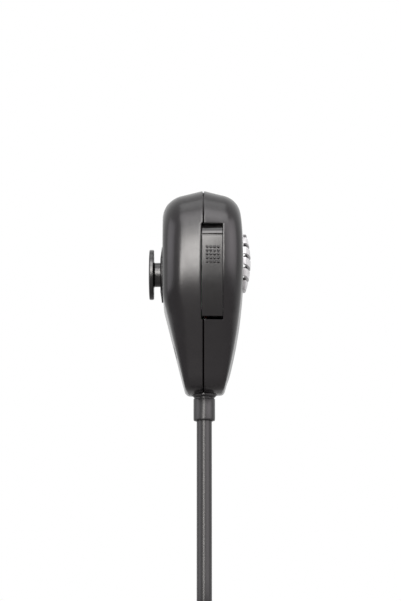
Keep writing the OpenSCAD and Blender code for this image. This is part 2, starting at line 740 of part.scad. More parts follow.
module front_shell() color([0.07, 0.07, 0.075]) difference() {
    union() {
        half_skin(1);
        for (p = case_screws_at) translate([0, p[0], p[1]])
            rod_x(seam_x, seam_x + front_at(p[1]) - wall + root, case_front_boss_r);
        for (z = capsule_screws_at) translate([0, 0, z])
            rod_x(seam_x + capsule_back, seam_x + front_at(z) - wall + root, post_r);
        at_seam(0, 0, grille_z)
            rod_x(ledge_back, front_depth - grille_ring_inset, grille_open_r + grille_ring_wall);
        at_seam(spring_x - spring_rib_w / 2, spring_seat_y, spring_z - spring_rib_w / 2)
            cube([front_depth - wall + root / 2 - spring_x + spring_rib_w / 2, spring_rib_t, spring_rib_w]);
        pin_ear(right_ear_x);
    }
    shell_cuts();
    for (p = case_screws_at) translate([0, p[0], p[1]])
        rod_x(seam_x - past, seam_x + case_bite, case_screw_r + bite_clear);
    for (z = capsule_screws_at) at_seam(capsule_back, 0, z) rod_x(-past, small_screw_l, pilot_r);
    on_grille_axis() {
        rod_x(cloth_back, grille_rise + past, grille_open_r);
        rod_x(-ledge_back, past, grille_r - ledge_w);
    }
}

module case_screw(i) color([0.25, 0.25, 0.26])
    at_seam(-case_web, case_screws_at[i - 1][0], case_screws_at[i - 1][1]) mirror([1, 0, 0])
        pan_screw(case_screw_r, case_screw_l, case_head_r, case_head_h);

// ---- Grille ----

dome_h = grille_rise - grille_step;
dome_r = (grille_r * grille_r + dome_h * dome_h) / (2 * dome_h);
module on_grille_axis() at_seam(front_depth, 0, grille_z) rotate([0, grille_tilt, 0]) children();

// Short rod from x0 outwards, with a cap of the dome's sphere on it
module domed_plug(r, ball_r, x0) intersection() {
    rod_x(x0, grille_rise + past, r);
    translate([grille_rise - dome_r, 0, 0]) rotate([0, 90, 0]) sphere(r = ball_r, $fn = 96);
}

module grille() color([0.72, 0.72, 0.73]) on_grille_axis() difference() {
    domed_plug(grille_r, dome_r, -skirt_l);
    domed_plug(grille_r - grille_wall, dome_r - grille_wall, -skirt_l - past);
    for (i = [0:slot_count - 1])
        translate([-slot_sink, -grille_r, (i - (slot_count - 1) / 2) * slot_pitch - slot_drop - slot_h / 2])
            cube([slot_sink + grille_rise + past, 2 * grille_r, slot_h]);
}

module grille_cloth() color([0.03, 0.03, 0.03]) on_grille_axis() rod_x(cloth_back, -skirt_l, grille_r);

// ---- Capsule ----

cup_inner_r = cup_r - cup_wall;
cup_back = capsule_back + boot_lip;
magnet_back = cup_back + cup_wall;
pole_back = magnet_back + magnet_t;
coil_bore = magnet_r + coil_gap;
cup_front_back = ledge_back - cup_front_t;
coil_front = cup_front_back - surround_t - diaphragm_t;
cup_hole_rings = 3;

module on_capsule_axis() at_seam(0, 0, grille_z) children();

module capsule_boot() color([0.1, 0.1, 0.1]) on_capsule_axis() difference() {
    rod_x(capsule_back, ledge_back, cup_r + boot_wall);
    rod_x(cup_back, ledge_back + past, cup_r);
    rod_x(capsule_back - past, cup_back + past, cup_inner_r);
}
module capsule_cup() color([0.6, 0.61, 0.62]) on_capsule_axis() difference() {
    rod_x(cup_back, ledge_back, cup_r);
    rod_x(magnet_back, ledge_back + past, cup_inner_r);
}
module capsule_magnet() color([0.35, 0.35, 0.37]) on_capsule_axis() rod_x(magnet_back, pole_back, magnet_r);
module capsule_pole_plate() color([0.7, 0.7, 0.7]) on_capsule_axis()
    rod_x(pole_back, pole_back + pole_t, magnet_r);
module capsule_coil() color([0.72, 0.4, 0.2]) on_capsule_axis()
    tube_x(coil_front - coil_l, coil_front, coil_bore + coil_t, coil_bore);
module capsule_diaphragm() color([0.85, 0.85, 0.8]) on_capsule_axis() {
    rod_x(coil_front, coil_front + diaphragm_t, cup_inner_r);
    tube_x(coil_front + diaphragm_t - eps, cup_front_back, cup_inner_r, cup_inner_r - surround_w);
}
module capsule_front() color([0.15, 0.15, 0.16]) on_capsule_axis() difference() {
    rod_x(cup_front_back, ledge_back, cup_inner_r);
    for (ring = [0:cup_hole_rings], i = [0:max(ring * 6 - 1, 0)])
        rotate([ring == 0 ? 0 : 60 / ring * i, 0, 0]) translate([0, 0, ring * cup_hole_pitch])
            rod_x(cup_front_back - past, ledge_back + past, cup_hole_r);
}
module capsule_clamp() color([0.65, 0.65, 0.66]) on_capsule_axis() difference() {
    union() {
        rod_x(clamp_back, capsule_back, cup_r + boot_wall);
        translate([clamp_back, -post_r, -clamp_reach]) cube([clamp_plate_t, 2 * post_r, 2 * clamp_reach]);
        for (s = [-1, 1]) translate([0, 0, s * clamp_reach]) rod_x(clamp_back, capsule_back, post_r);
    }
    rod_x(clamp_back - past, capsule_back + past, magnet_r);
    for (s = [-1, 1]) translate([0, 0, s * clamp_reach])
        rod_x(clamp_back - past, capsule_back + past, small_hole_r);
}
module capsule_screw(i) color([0.6, 0.6, 0.6])
    at_seam(clamp_back, 0, capsule_screws_at[i - 1]) mirror([1, 0, 0]) small_screw(small_screw_l);

// ---- Push-to-talk lever ----

switch_face_y = -(case_half_width - switch_inset);
plunger_tip_y = switch_face_y - plunger_out;

// Distance of the lever's outer face from the middle plane at height z
function lever_face(z) = -(case_half_width + lever_proud) + sagitta(lever_curve_r, z - lever_full_z);
face_steps = 14;
lever_left = slot_left + lever_gap_left;
lever_right = slot_right - lever_gap_right;
lever_inner_y = -(case_half_width - lever_inner);
lip_y = lever_face(pad_top) + lip_step;
lip_low = pad_top + lip_groove;
lip_high = lip_low + lip_r;
tab_out = lever_inner_y + tab_inset;
tab_top = slot_top + tab_reach;
tab_low = board_high + 0.6;
tab_slope = 1.5;
heel_y = pivot_y + heel_inset;
heel_rise = 4;
boss_tip_y = plunger_tip_y - plunger_gap;
boss_low = switch_z - lever_boss_h / 2;
boss_high = switch_z + lever_boss_h / 2;

// Outline of the lever seen along X, as [y, z]
lever_outline = concat(
    [for (i = [0:face_steps]) let (z = mix(lever_end, pad_top, i / face_steps)) [lever_face(z), z]],
    [[lip_y + lip_groove_depth, pad_top], [lip_y + lip_groove_depth, lip_low], [lip_y, lip_low]],
    [for (a = [15:15:90]) [lip_y + lip_r * (1 - cos(a)), lip_low + lip_r * sin(a)]],
    [[tab_out, lip_high], [tab_out, tab_top], [tab_out + tab_t, tab_top], [tab_out + tab_t, tab_low],
        [lever_inner_y, tab_low - tab_slope], [lever_inner_y, boss_high], [boss_tip_y, boss_high],
        [boss_tip_y, boss_low], [lever_inner_y, boss_low], [lever_inner_y, pivot_z + heel_rise],
        [heel_y, pivot_z + knuckle_r], [heel_y, lever_end]]);
// Middle of the block of bumps, towards the front of the pad
bumps_x = spring_x + 0.24;
bump_root = 0.3;

module ptt_lever() color([0.06, 0.06, 0.065]) difference() {
    union() {
        // The outline's y and z are the extrusion's x and y, so the turn lays them in place
        at_seam(lever_left, 0, 0) rotate([90, 0, 90])
            linear_extrude(lever_right - lever_left) polygon(lever_outline);
        at_seam(0, pivot_y, pivot_z) rod_x(lever_left, lever_right, knuckle_r);
        for (i = [0:bump_columns - 1], j = [0:bump_rows - 1])
            let (z = bump_z + (j - (bump_rows - 1) / 2) * bump_pitch,
                x = bumps_x + (i - (bump_columns - 1) / 2) * bump_pitch)
            at_seam(x, lever_face(z) + bump_root, z) rotate([90, 0, 0])
                cylinder(r = bump_r, h = bump_h + bump_root, $fn = 24);
    }
    at_seam(0, pivot_y, pivot_z) rod_x(slot_left, slot_right, pin_r + pin_clear);
}

module ptt_pin() color([0.75, 0.75, 0.76]) at_seam(0, pivot_y, pivot_z)
    rod_x(left_ear_x, right_ear_x + ear_t, pin_r);

// Coil spring along Y, between the lever's inner face and the rib behind it
spring_sides = 6;
spring_step = 30;
module ptt_spring() color([0.7, 0.7, 0.72]) {
    l = spring_seat_y - lever_inner_y - 2 * spring_wire_r;
    turn_r = spring_r - spring_wire_r;
    n = spring_turns * 360 / spring_step;
    // Each ring of the wire lies in the plane of the spring's axis and its own radius
    points = [for (i = [0:n]) let (a = i * spring_step, radial = [cos(a), 0, sin(a)],
            c = [0, lever_inner_y + spring_wire_r + l * i / n, 0] + turn_r * radial)
        for (j = [0:spring_sides - 1]) let (b = 360 * j / spring_sides)
            c + spring_wire_r * (cos(b) * radial + sin(b) * [0, 1, 0])];
    faces = concat(
        [for (i = [0:n - 1], j = [0:spring_sides - 1]) let (k = (j + 1) % spring_sides, s = spring_sides)
            [i * s + j, i * s + k, (i + 1) * s + k, (i + 1) * s + j]],
        [[for (j = [spring_sides - 1:-1:0]) j]],
        [[for (j = [0:spring_sides - 1]) n * spring_sides + j]]);
    at_seam(spring_x, 0, spring_z) polyhedron(points = points, faces = faces, convexity = 10);
}

// ---- Switch ----

switch_back_y = switch_face_y + switch_h;
plunger_x = (switch_w - plunger_w) / 2;
plunger_travel = (switch_z - pivot_z) * lever_swing * PI / 180;
plunger_l = plunger_out + plunger_in - plunger_travel - 0.5;
switch_screws_at = [switch_z - switch_screw_pitch / 2, switch_z + switch_screw_pitch / 2];
switch_screw_y = switch_back_y - switch_screw_inset;

module switch_body() color([0.12, 0.12, 0.13]) difference() {
    at_seam(0, switch_face_y, switch_z - switch_l / 2) cube([switch_w, switch_h, switch_l]);
    at_seam(plunger_x - plunger_clear, switch_face_y - past, switch_z - plunger_h / 2 - plunger_clear)
        cube([plunger_w + 2 * plunger_clear, plunger_in + past, plunger_h + 2 * plunger_clear]);
    for (z = switch_screws_at) at_seam(0, switch_screw_y, z) rod_x(-past, switch_w + past, small_hole_r);
}
module switch_plunger() color([0.7, 0.15, 0.12])
    at_seam(plunger_x, plunger_tip_y, switch_z - plunger_h / 2)
        cube([plunger_w, plunger_l, plunger_h]);
module switch_terminals() color([0.85, 0.75, 0.45])
    for (k = [-1, 0, 1]) at_seam(0, switch_back_y, switch_z + k * terminal_pitch - terminal_w / 2) {
        translate([terminal_up - terminal_t, 0, 0]) cube([terminal_t, terminal_l, terminal_w]);
        translate([0, terminal_l - terminal_t, 0]) cube([terminal_up, terminal_t, terminal_w]);
    }
// Screw through the switch and the board, with its nut behind the board
module switch_screw(i) color([0.6, 0.6, 0.6])
    at_seam(switch_w, switch_screw_y, switch_screws_at[i - 1]) {
        small_screw(switch_w + board_t + nut_t);
        tube_x(-switch_w - board_t - nut_t, -switch_w - board_t, small_head_r, small_screw_r);
    }

// ---- Board ----

// The board clears the lever's tab above and makes room for the lever's spring below the switch
board_step_z = switch_z - switch_l / 2 - 0.6;
board_corner = 5;
module board_outline() polygon([
    [board_left, board_low + board_corner], [board_left + board_corner, board_low],
    [board_right - board_corner, board_low], [board_right, board_low + board_corner],
    [board_right, board_high - board_corner], [board_right - 2 * board_corner, board_high],
    [switch_face_y, board_high], [switch_face_y, board_step_z], [board_left, board_step_z - 2]]);

module circuit_board() color([0.1, 0.35, 0.2]) difference() {
    at_seam(-board_t, 0, 0) rotate([90, 0, 90]) linear_extrude(board_t) board_outline();
    for (p = board_screws_at) at_seam(-board_t, p[0], p[1]) rod_x(-past, board_t + past, small_hole_r);
    for (z = switch_screws_at) at_seam(-board_t, switch_screw_y, z)
        rod_x(-past, board_t + past, small_hole_r);
}
module board_screw(i) color([0.6, 0.6, 0.6])
    at_seam(0, board_screws_at[i - 1][0], board_screws_at[i - 1][1]) small_screw(small_screw_l);

// Parts behind the board, each at its own [y, z]
capacitor_at = [7, -11];
first_resistor_at = [-2, -10];
trimmer_at = [-8, 6];
trimmer_slot_w = 0.6;

module board_capacitor() color([0.15, 0.2, 0.45])
    at_seam(-board_t, capacitor_at[0], capacitor_at[1]) rod_x(-capacitor_l, 0, capacitor_r);
module board_resistor(i) color([0.75, 0.65, 0.5])
    at_seam(-board_t - resistor_r, first_resistor_at[0] - (i - 1) * resistor_pitch, first_resistor_at[1]) {
        cylinder(r = resistor_r, h = resistor_l, center = true);
        cylinder(d = lead_t, h = resistor_l + 2 * lead_l, center = true);
        for (s = [-1, 1])
            translate([resistor_r / 2, 0, s * (resistor_l / 2 + lead_l - lead_t / 2)])
                cube([resistor_r, lead_t, lead_t], center = true);
    }
module level_trimmer() color([0.2, 0.35, 0.7])
    at_seam(-board_t - trimmer_t, trimmer_at[0], trimmer_at[1]) difference() {
        union() {
            translate([0, -trimmer_w / 2, -trimmer_w / 2]) cube([trimmer_t, trimmer_w, trimmer_w]);
            rod_x(-trimmer_knob_out, eps, trimmer_knob_r);
        }
        translate([-trimmer_knob_out, 0, 0])
            cube([trimmer_knob_out, 2 * trimmer_knob_r - trimmer_slot_w, trimmer_slot_w], center = true);
    }

// ---- Hang button ----

base_x = back_x - base_t;
disc_side_t = disc_t - disc_dome;
dome_steps = 6;
nub_l = wall / 2;
nub_end_gap = 0.2;

// Half section of the button: radius across, height from the base plate's outer face
module button_section() difference() {
    union() {
        square([neck_r, neck_gap + disc_t / 2]);
        translate([0, neck_gap]) square([disc_r - disc_edge, disc_side_t]);
        translate([disc_r - disc_edge, neck_gap + disc_edge])
            square([disc_edge, disc_side_t - 2 * disc_edge]);
        for (y = [disc_edge, disc_side_t - disc_edge])
            translate([disc_r - disc_edge, neck_gap + y]) circle(r = disc_edge, $fn = 32);
        translate([neck_r - eps, neck_gap - neck_fillet]) difference() {
            square([neck_fillet, neck_fillet + eps]);
            translate([neck_fillet, 0]) circle(r = neck_fillet, $fn = 32);
        }
        polygon(concat([[0, neck_gap + disc_t / 2]],
            [for (i = [0:dome_steps]) let (s = 1 - i / dome_steps)
                [s * (disc_r - disc_edge), neck_gap + disc_t - disc_dome * s * s]]));
    }
}

module hang_button() color([0.03, 0.03, 0.03]) translate([base_x, 0, 0]) rotate([0, -90, 0]) difference() {
    rotate_extrude() button_section();
    translate([0, 0, -past]) cylinder(r = hang_screw_r + bite_clear, h = hang_screw_bite + past);
}

module hang_base() color([0.04, 0.04, 0.04]) difference() {
    union() {
        translate([back_x, 0, 0]) rotate([0, -90, 0]) rotate_extrude()
            polygon([[0, 0], [base_r, 0], [base_r, base_rim_t], [base_middle_r, base_t], [0, base_t]]);
        translate([0, 0, -nub_reach]) rod_x(back_x - base_rim_t, back_x + nub_l - nub_end_gap, nub_r);
    }
    rod_x(base_x - past, back_x + past, hang_screw_r + screw_clear);
}

washer_x = back_x + wall + hang_seat_t;
hang_seat_x = washer_x + washer_t;
screw_end_gap = 0.3;
module hang_screw() color([0.65, 0.65, 0.66]) translate([hang_seat_x, 0, 0])
    pan_screw(hang_screw_r, hang_seat_x - base_x + hang_screw_bite - screw_end_gap, hang_head_r, hang_head_h);
module hang_washer() color([0.7, 0.7, 0.7])
    tube_x(washer_x, hang_seat_x, washer_r, hang_screw_r + screw_clear);

// ---- Cord inside the case ----

module strain_relief() color([0.09, 0.09, 0.1]) translate([cord_x, 0, 0]) difference() {
    union() {
        rotate_extrude() polygon([[0, sleeve_end_z], [sleeve_r - sleeve_chamfer, sleeve_end_z],
            [sleeve_r, sleeve_end_z + sleeve_chamfer], [sleeve_r, foot_z + foot_recess],
            [0, foot_z + foot_recess]]);
        translate([0, 0, foot_z]) cylinder(r = sleeve_neck_r, h = wall + eps);
        translate([0, 0, flange_z]) cylinder(r = sleeve_flange_r, h = sleeve_flange_t);
    }
    translate([0, 0, sleeve_end_z - past])
        cylinder(r = cord_r, h = flange_z + sleeve_flange_t - sleeve_end_z + 2 * past);
}
module cord_inner() color([0.08, 0.08, 0.085]) translate([cord_x, 0, sleeve_end_z])
    cylinder(r = cord_r, h = cord_end_z - sleeve_end_z);
module cord_clamp() color([0.65, 0.65, 0.66]) difference() {
    translate([cord_x + cord_r, -cord_clamp_reach - clamp_post_r, cord_clamp_z - cord_clamp_w / 2])
        cube([cord_clamp_t, 2 * (cord_clamp_reach + clamp_post_r), cord_clamp_w]);
    for (y = cord_clamps_at) translate([cord_x + cord_r, y, cord_clamp_z])
        rod_x(-past, cord_clamp_t + past, small_hole_r);
}
module cord_clamp_screw(i) color([0.6, 0.6, 0.6])
    translate([cord_x + cord_r + cord_clamp_t, cord_clamps_at[i - 1], cord_clamp_z])
        small_screw(small_screw_l);

// Four wires from the cord's end round the lower case boss to the board's lower edge
wire_colours = [[0.7, 0.1, 0.1], [0.85, 0.85, 0.85], [0.1, 0.1, 0.1], [0.1, 0.45, 0.2]];
wire_starts = [-0.9, -0.9, 0.9, 0.9];
wire_sides = [0.9, -0.9, -0.9, 0.9];
wire_bulges = [-7.5, -5.6, 5.6, 7.5];
wire_ends = [-7, -4, 4, 7];
module cord_wires() for (i = [0:3]) color(wire_colours[i])
    sweep([[cord_x + wire_sides[i], wire_starts[i], cord_end_z],
        [cord_x + wire_sides[i], wire_starts[i], cord_end_z + 0.8],
        [cord_x + wire_sides[i], mix(wire_starts[i], wire_bulges[i], 0.5), cord_end_z + 2.4],
        [cord_x + 1, wire_bulges[i], case_screw_low - 1], [cord_x + 0.8, wire_bulges[i], case_screw_low + 4],
        [seam_x + 1.2, wire_ends[i], board_low + 0.5], [seam_x + wire_r, wire_ends[i], board_low + 2.2],
        [seam_x + wire_r, wire_ends[i], board_low + 3.4]], wire_r, 8);
// Two wires from the back of the capsule down to the board
module capsule_wires() for (s = [-1, 1]) color(s < 0 ? [0.8, 0.15, 0.1] : [0.15, 0.15, 0.6])
    sweep([[seam_x + cup_back, s * 3.5, grille_z - 2.5], [seam_x + cup_back - 0.8, s * 3.5, grille_z - 2.5],
        [seam_x + 1.8, s * 3.6, grille_z - 3.5], [seam_x + 1.1, s * 4, grille_z - 6],
        [seam_x + wire_r, s * 4.5, grille_z - 9], [seam_x + wire_r, s * 4.5, grille_z - 11]],
        wire_r, 8, [0, 1, 0]);

// ---- Cord outside the case ----

// The folded cord's three runs beside each other
run_y = [run_gap, 0, -run_gap];
run_top = [-190, -180, -180];
run_low = [-270, -270, -262];
tie_z = -225;

// Points of the straight tail and of the lead to the plug, as [y, z]
tail_points = [[0, sleeve_end_z], [0, -70], [0, -85], [0, -100], [0, -115], [0, -130], [0.6, -138],
    [3, -147], [8, -157], [14.5, -167], [20, -175.5], [23.2, -182.5], [run_y[0], -187],
    [run_y[0], run_top[0]]];
lead_points = [[run_y[2], run_low[2]], [run_y[2], -276], [run_y[2], -290]];
cord_sides = 12;
function cord_route(points) = [for (p = points) [cord_x, p[0], p[1]]];

module cord_tail() color([0.08, 0.08, 0.085]) sweep(cord_route(tail_points), cord_r, cord_sides);
module plug_lead() color([0.08, 0.08, 0.085]) sweep(cord_route(lead_points), cord_r, cord_sides);
// Half turn between two runs: over their tops, or turned by 180 degrees under their lower ends
module fold(y, z, turn) translate([cord_x, y, z]) rotate([90, 0, 90]) rotate([0, 0, turn])
    rotate_extrude(angle = 180) translate([run_gap / 2, 0]) circle(r = coil_r);
module cord_coil() color([0.08, 0.08, 0.085]) {
    for (i = [0:2]) translate([cord_x, run_y[i], run_low[i]])
        cylinder(r = coil_r, h = run_top[i] - run_low[i]);
    fold((run_y[0] + run_y[1]) / 2, run_low[0], 180);
    fold((run_y[1] + run_y[2]) / 2, run_top[1], 0);
}
module stadium(half_y, r) {
    square([2 * r, 2 * half_y], center = true);
    for (s = [-1, 1]) translate([0, s * half_y]) circle(r = r);
}
module cord_tie() color([0.05, 0.05, 0.05]) translate([cord_x, 0, tie_z]) linear_extrude(tie_h)
    difference() {
        stadium(run_gap, coil_r + tie_clear + tie_t);
        stadium(run_gap, coil_r + tie_clear);
    }

// ---- Plug, mating end down ----

lead_end = lead_points[len(lead_points) - 1];
plug_top = lead_end[1] + grommet_l + 2;
plug_low = plug_top - plug_l;
grommet_z = plug_top - grommet_l;
grommet_r = cord_r + grommet_wall;
shoulder_r = plug_r - shoulder_step;
collar_l = shoulder_l - ring_lip - 2 * ring_gap;
collar_step = 0.2;
ring_top = plug_low + shoulder_l - ring_gap;
clamp_face = plug_r - plug_clamp_inset;
insert_z = plug_low - barrel_l + insert_inset;
contact_hole_l = 4;
contacts_at = concat([[0, 0]],
    [for (i = [0:6]) contact_ring_r * [cos(360 * i / 7), sin(360 * i / 7)]]);

module on_plug(z) translate([cord_x, lead_end[0], z]) children();
// Children at both clamp screws, turned so that their +Z points out of the clamp
module at_plug_screw(s) translate([s * (plug_r - plug_screw_inset), 0, grommet_l / 2]) rotate([-90, 0, 0])
    children();

module plug_shell() color([0.72, 0.72, 0.73]) on_plug(plug_low) difference() {
    union() {
        translate([0, 0, shoulder_l]) cylinder(r = plug_r, h = plug_l - shoulder_l);
        translate([0, 0, collar_l - eps]) cylinder(r = shoulder_r, h = shoulder_l - collar_l + 2 * eps);
        cylinder(r = plug_r - collar_step, h = collar_l);
    }
    translate([0, 0, -past]) cylinder(r = barrel_r - barrel_wall, h = plug_l - grommet_l + past);
    translate([0, 0, plug_l - grommet_l - past]) cylinder(r = grommet_r, h = grommet_l + 2 * past);
    translate([-plug_r - past, clamp_face, plug_l - grommet_l])
        cube([2 * (plug_r + past), plug_r, grommet_l + past]);
    translate([0, 0, plug_l - grommet_l]) for (s = [-1, 1])
        at_plug_screw(s) translate([0, 0, clamp_face + plug_clamp_t - plug_screw_l])
            cylinder(r = pilot_r, h = plug_screw_l);
}
module plug_grommet() color([0.1, 0.1, 0.1]) on_plug(grommet_z) difference() {
    cylinder(r = grommet_r, h = grommet_l);
    translate([-plug_r, clamp_face, -past]) cube([2 * plug_r, plug_r, grommet_l + 2 * past]);
    translate([0, 0, -past]) cylinder(r = cord_r, h = grommet_l + 2 * past);
}
module plug_clamp() color([0.7, 0.7, 0.71]) on_plug(grommet_z) difference() {
    intersection() {
        translate([-plug_r, clamp_face, 0]) cube([2 * plug_r, plug_clamp_t, grommet_l]);
        cylinder(r = plug_r, h = grommet_l);
    }
    for (s = [-1, 1]) at_plug_screw(s) cylinder(r = small_hole_r, h = plug_r + past);
}
module plug_clamp_screw(i) color([0.75, 0.75, 0.76]) on_plug(grommet_z)
    at_plug_screw(2 * i - 3) translate([0, 0, clamp_face + plug_clamp_t]) rotate([0, -90, 0])
        pan_screw(small_screw_r, plug_screw_l, small_head_r - 0.2, plug_head_h);
module plug_barrel() color([0.75, 0.75, 0.76]) on_plug(plug_low - barrel_l) difference() {
    cylinder(r = barrel_r, h = barrel_l);
    translate([0, 0, -past]) cylinder(r = barrel_r - barrel_wall, h = barrel_l + 2 * past);
}
module plug_insert() color([0.05, 0.05, 0.05]) on_plug(insert_z) difference() {
    cylinder(r = barrel_r - barrel_wall, h = insert_t);
    for (p = contacts_at) translate([p[0], p[1], -past]) cylinder(r = contact_r, h = insert_t + 2 * past);
}
module plug_contacts() color([0.85, 0.7, 0.35]) on_plug(insert_z)
    for (p = contacts_at) translate([p[0], p[1], 0]) difference() {
        cylinder(r = contact_r, h = insert_t + contact_tail);
        translate([0, 0, -past]) cylinder(r = contact_r - contact_wall, h = contact_hole_l + past);
    }
module coupling_ring() color([0.78, 0.78, 0.79]) on_plug(ring_top - ring_l) difference() {
    linear_extrude(ring_l) polygon(
        [for (i = [0:2 * knurl_count - 1]) let (r = ring_r - (i % 2) * knurl_depth, a = 180 * i / knurl_count)
            [r * cos(a), r * sin(a)]]);
    translate([0, 0, -past]) cylinder(r = ring_thread_r, h = ring_l - ring_lip + past);
    cylinder(r = shoulder_r + ring_clear, h = ring_l + past);
}

rear_shell();
front_shell();
for (i = [1:3]) case_screw(i);
grille();
grille_cloth();
capsule_boot();
capsule_cup();
capsule_magnet();
capsule_pole_plate();
capsule_coil();
capsule_diaphragm();
capsule_front();
capsule_clamp();
for (i = [1:2]) capsule_screw(i);
ptt_lever();
ptt_pin();
ptt_spring();
switch_body();
switch_plunger();
switch_terminals();
for (i = [1:2]) switch_screw(i);
circuit_board();
for (i = [1:3]) board_screw(i);
board_capacitor();
for (i = [1:3]) board_resistor(i);
level_trimmer();
hang_button();
hang_base();
hang_screw();
hang_washer();
strain_relief();
cord_clamp();
for (i = [1:2]) cord_clamp_screw(i);
cord_inner();
cord_wires();
capsule_wires();
cord_tail();
cord_coil();
cord_tie();
plug_lead();
plug_shell();
plug_grommet();
plug_clamp();
for (i = [1:2]) plug_clamp_screw(i);
plug_barrel();
plug_insert();
plug_contacts();
coupling_ring();
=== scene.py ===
# %% [markdown]
# A hand microphone: a moulded case in two halves, a thumb lever that keys the transmitter, a round
# hang button for a bracket, a silver grille and a curly cord that ends in a round plug.
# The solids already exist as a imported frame. This script dresses them: it loads the frame, builds
# finer meshes for what is seen, and gives every part a finish. All lengths below are written in
# millimetres, as on a drawing, and become metres only when a mesh is made.

import json
import math

import bmesh
import bpy
import numpy as np
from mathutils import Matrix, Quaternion, Vector


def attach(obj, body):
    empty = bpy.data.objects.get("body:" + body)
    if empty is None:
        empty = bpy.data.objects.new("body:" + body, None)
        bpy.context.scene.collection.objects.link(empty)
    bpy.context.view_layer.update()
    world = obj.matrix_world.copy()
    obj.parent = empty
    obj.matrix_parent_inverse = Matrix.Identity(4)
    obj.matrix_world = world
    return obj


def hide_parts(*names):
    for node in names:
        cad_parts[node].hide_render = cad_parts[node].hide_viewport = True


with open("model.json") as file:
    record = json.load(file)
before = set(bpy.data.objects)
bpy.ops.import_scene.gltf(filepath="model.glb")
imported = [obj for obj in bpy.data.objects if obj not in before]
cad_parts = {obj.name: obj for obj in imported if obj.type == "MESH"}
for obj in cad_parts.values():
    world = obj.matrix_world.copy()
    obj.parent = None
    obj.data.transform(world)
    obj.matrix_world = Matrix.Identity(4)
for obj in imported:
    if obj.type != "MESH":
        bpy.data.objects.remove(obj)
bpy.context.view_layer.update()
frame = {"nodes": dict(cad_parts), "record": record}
MM = 0.001

# %% [markdown]
# The camera stands a metre away on the lever's side, well below the case, and looks up by ten
# degrees. A long lens keeps the near and the far edge of the case almost the same size, as in a
# catalogue picture. The lens follows from the height that the view must take in.

# %% Camera
look_at = Vector((18.174, 0, -10.896)) * MM
camera_distance = 1000 * MM
view_height = 252.4 * MM
tilt_up = math.radians(10)
sensor = 36

camera_data = bpy.data.cameras.new("camera")
camera_data.sensor_width = sensor
camera_data.lens = sensor * camera_distance / view_height
camera = bpy.data.objects.new("camera", camera_data)
bpy.context.scene.collection.objects.link(camera)
camera.location = look_at - camera_distance * Vector((0, math.cos(tilt_up), math.sin(tilt_up)))
camera.rotation_euler = (look_at - camera.location).to_track_quat("-Z", "Y").to_euler()
bpy.context.scene.camera = camera
print("lens, mm:", round(camera_data.lens, 1))

# %% [markdown]
# The curly cord comes next, because everything below the case hangs on it. A real one is a straight
# cord wound on a rod and baked, so it springs back into a helix: a short straight tail at the
# microphone, then turn on turn, then a straight lead into the plug. It is put away folded in three
# runs with a strap round them.
# It could be a curve object with a bevel. Here the centreline is worked out in numbers and a round
# section is swept along it, because then the turns, the folds and the length are all under control.
# First the axis that the helix winds round: down, under, up, over and down again.

# %% Axis of the folded cord
cord_x = 19.75
cord_radius = 3.2
run_y = (24, 0, -24)
run_top = (-190, -180, -180)
run_low = (-270, -270, -262)
fold_radius = 12


def straight(y, start, end, step=0.5):
    count = int(abs(end - start) / step) + 1
    return [(y, z) for z in np.linspace(start, end, count)]


def half_turn(middle_y, z, start, end, count=76):
    angles = np.radians(np.linspace(start, end, count))
    return [(middle_y + fold_radius * math.cos(a), z + fold_radius * math.sin(a)) for a in angles]


axis = straight(run_y[0], run_top[0], run_low[0])
axis += half_turn(fold_radius, run_low[0], 0, -180)[1:]
axis += straight(run_y[1], run_low[1], run_top[1])[1:]
axis += half_turn(-fold_radius, run_top[1], 0, 180)[1:]
axis += straight(run_y[2], run_top[2], run_low[2])[1:]
axis = np.array(axis)
axis_length = np.concatenate([[0], np.cumsum(np.linalg.norm(np.diff(axis, axis=0), axis=1))])
print("axis of the curly part, mm:", round(float(axis_length[-1])))

# %% [markdown]
# Now the helix. Each point of the cord is the axis point plus a radius that turns round it. Where
# the cord folds, the turns open like a fan, so there each turn takes twice the length of axis: the
# inner sides then just touch. The radius grows from nothing over the first turn, as it does where a
# real cord leaves its straight tail.

# %% Cord
helix_radius = 6.15
pitch_close, pitch_fold = 6.62, 13.3
ramp_length, ramp_power = 11.0, 0.8
blur_points = 7

# The share of a fold at each axis point, softened so that the pitch changes gently
folded = np.array([1.0 if z < run_low[0] or z > run_top[1] else 0.0 for y, z in axis])
kernel = np.hanning(2 * blur_points + 1)
folded = np.convolve(np.pad(folded, blur_points, mode="edge"), kernel / kernel.sum(), mode="valid")
pitch = pitch_close + (pitch_fold - pitch_close) * folded
step = np.diff(axis_length)
turned = np.concatenate([[0], np.cumsum(step / ((pitch[1:] + pitch[:-1]) / 2))])

points_per_turn = 14
stations = np.arange(0, turned[-1], 1 / points_per_turn)
along = np.interp(stations, turned, axis_length)
centre_y = np.interp(along, axis_length, axis[:, 0])
centre_z = np.interp(along, axis_length, axis[:, 1])
heading = np.unwrap(np.arctan2(np.gradient(axis[:, 1]), np.gradient(axis[:, 0])))
heading = np.interp(along, axis_length, heading)
reach = np.minimum(along, axis_length[-1] - along) / ramp_length
reach = helix_radius * np.clip(reach, 0, 1) ** ramp_power
phase = 2 * np.pi * stations
side_y, side_z = -np.sin(heading), np.cos(heading)
helix = np.stack(
    [
        cord_x + reach * np.sin(phase),
        centre_y + reach * np.cos(phase) * side_y,
        centre_z + reach * np.cos(phase) * side_z,
    ],
    axis=1,
)

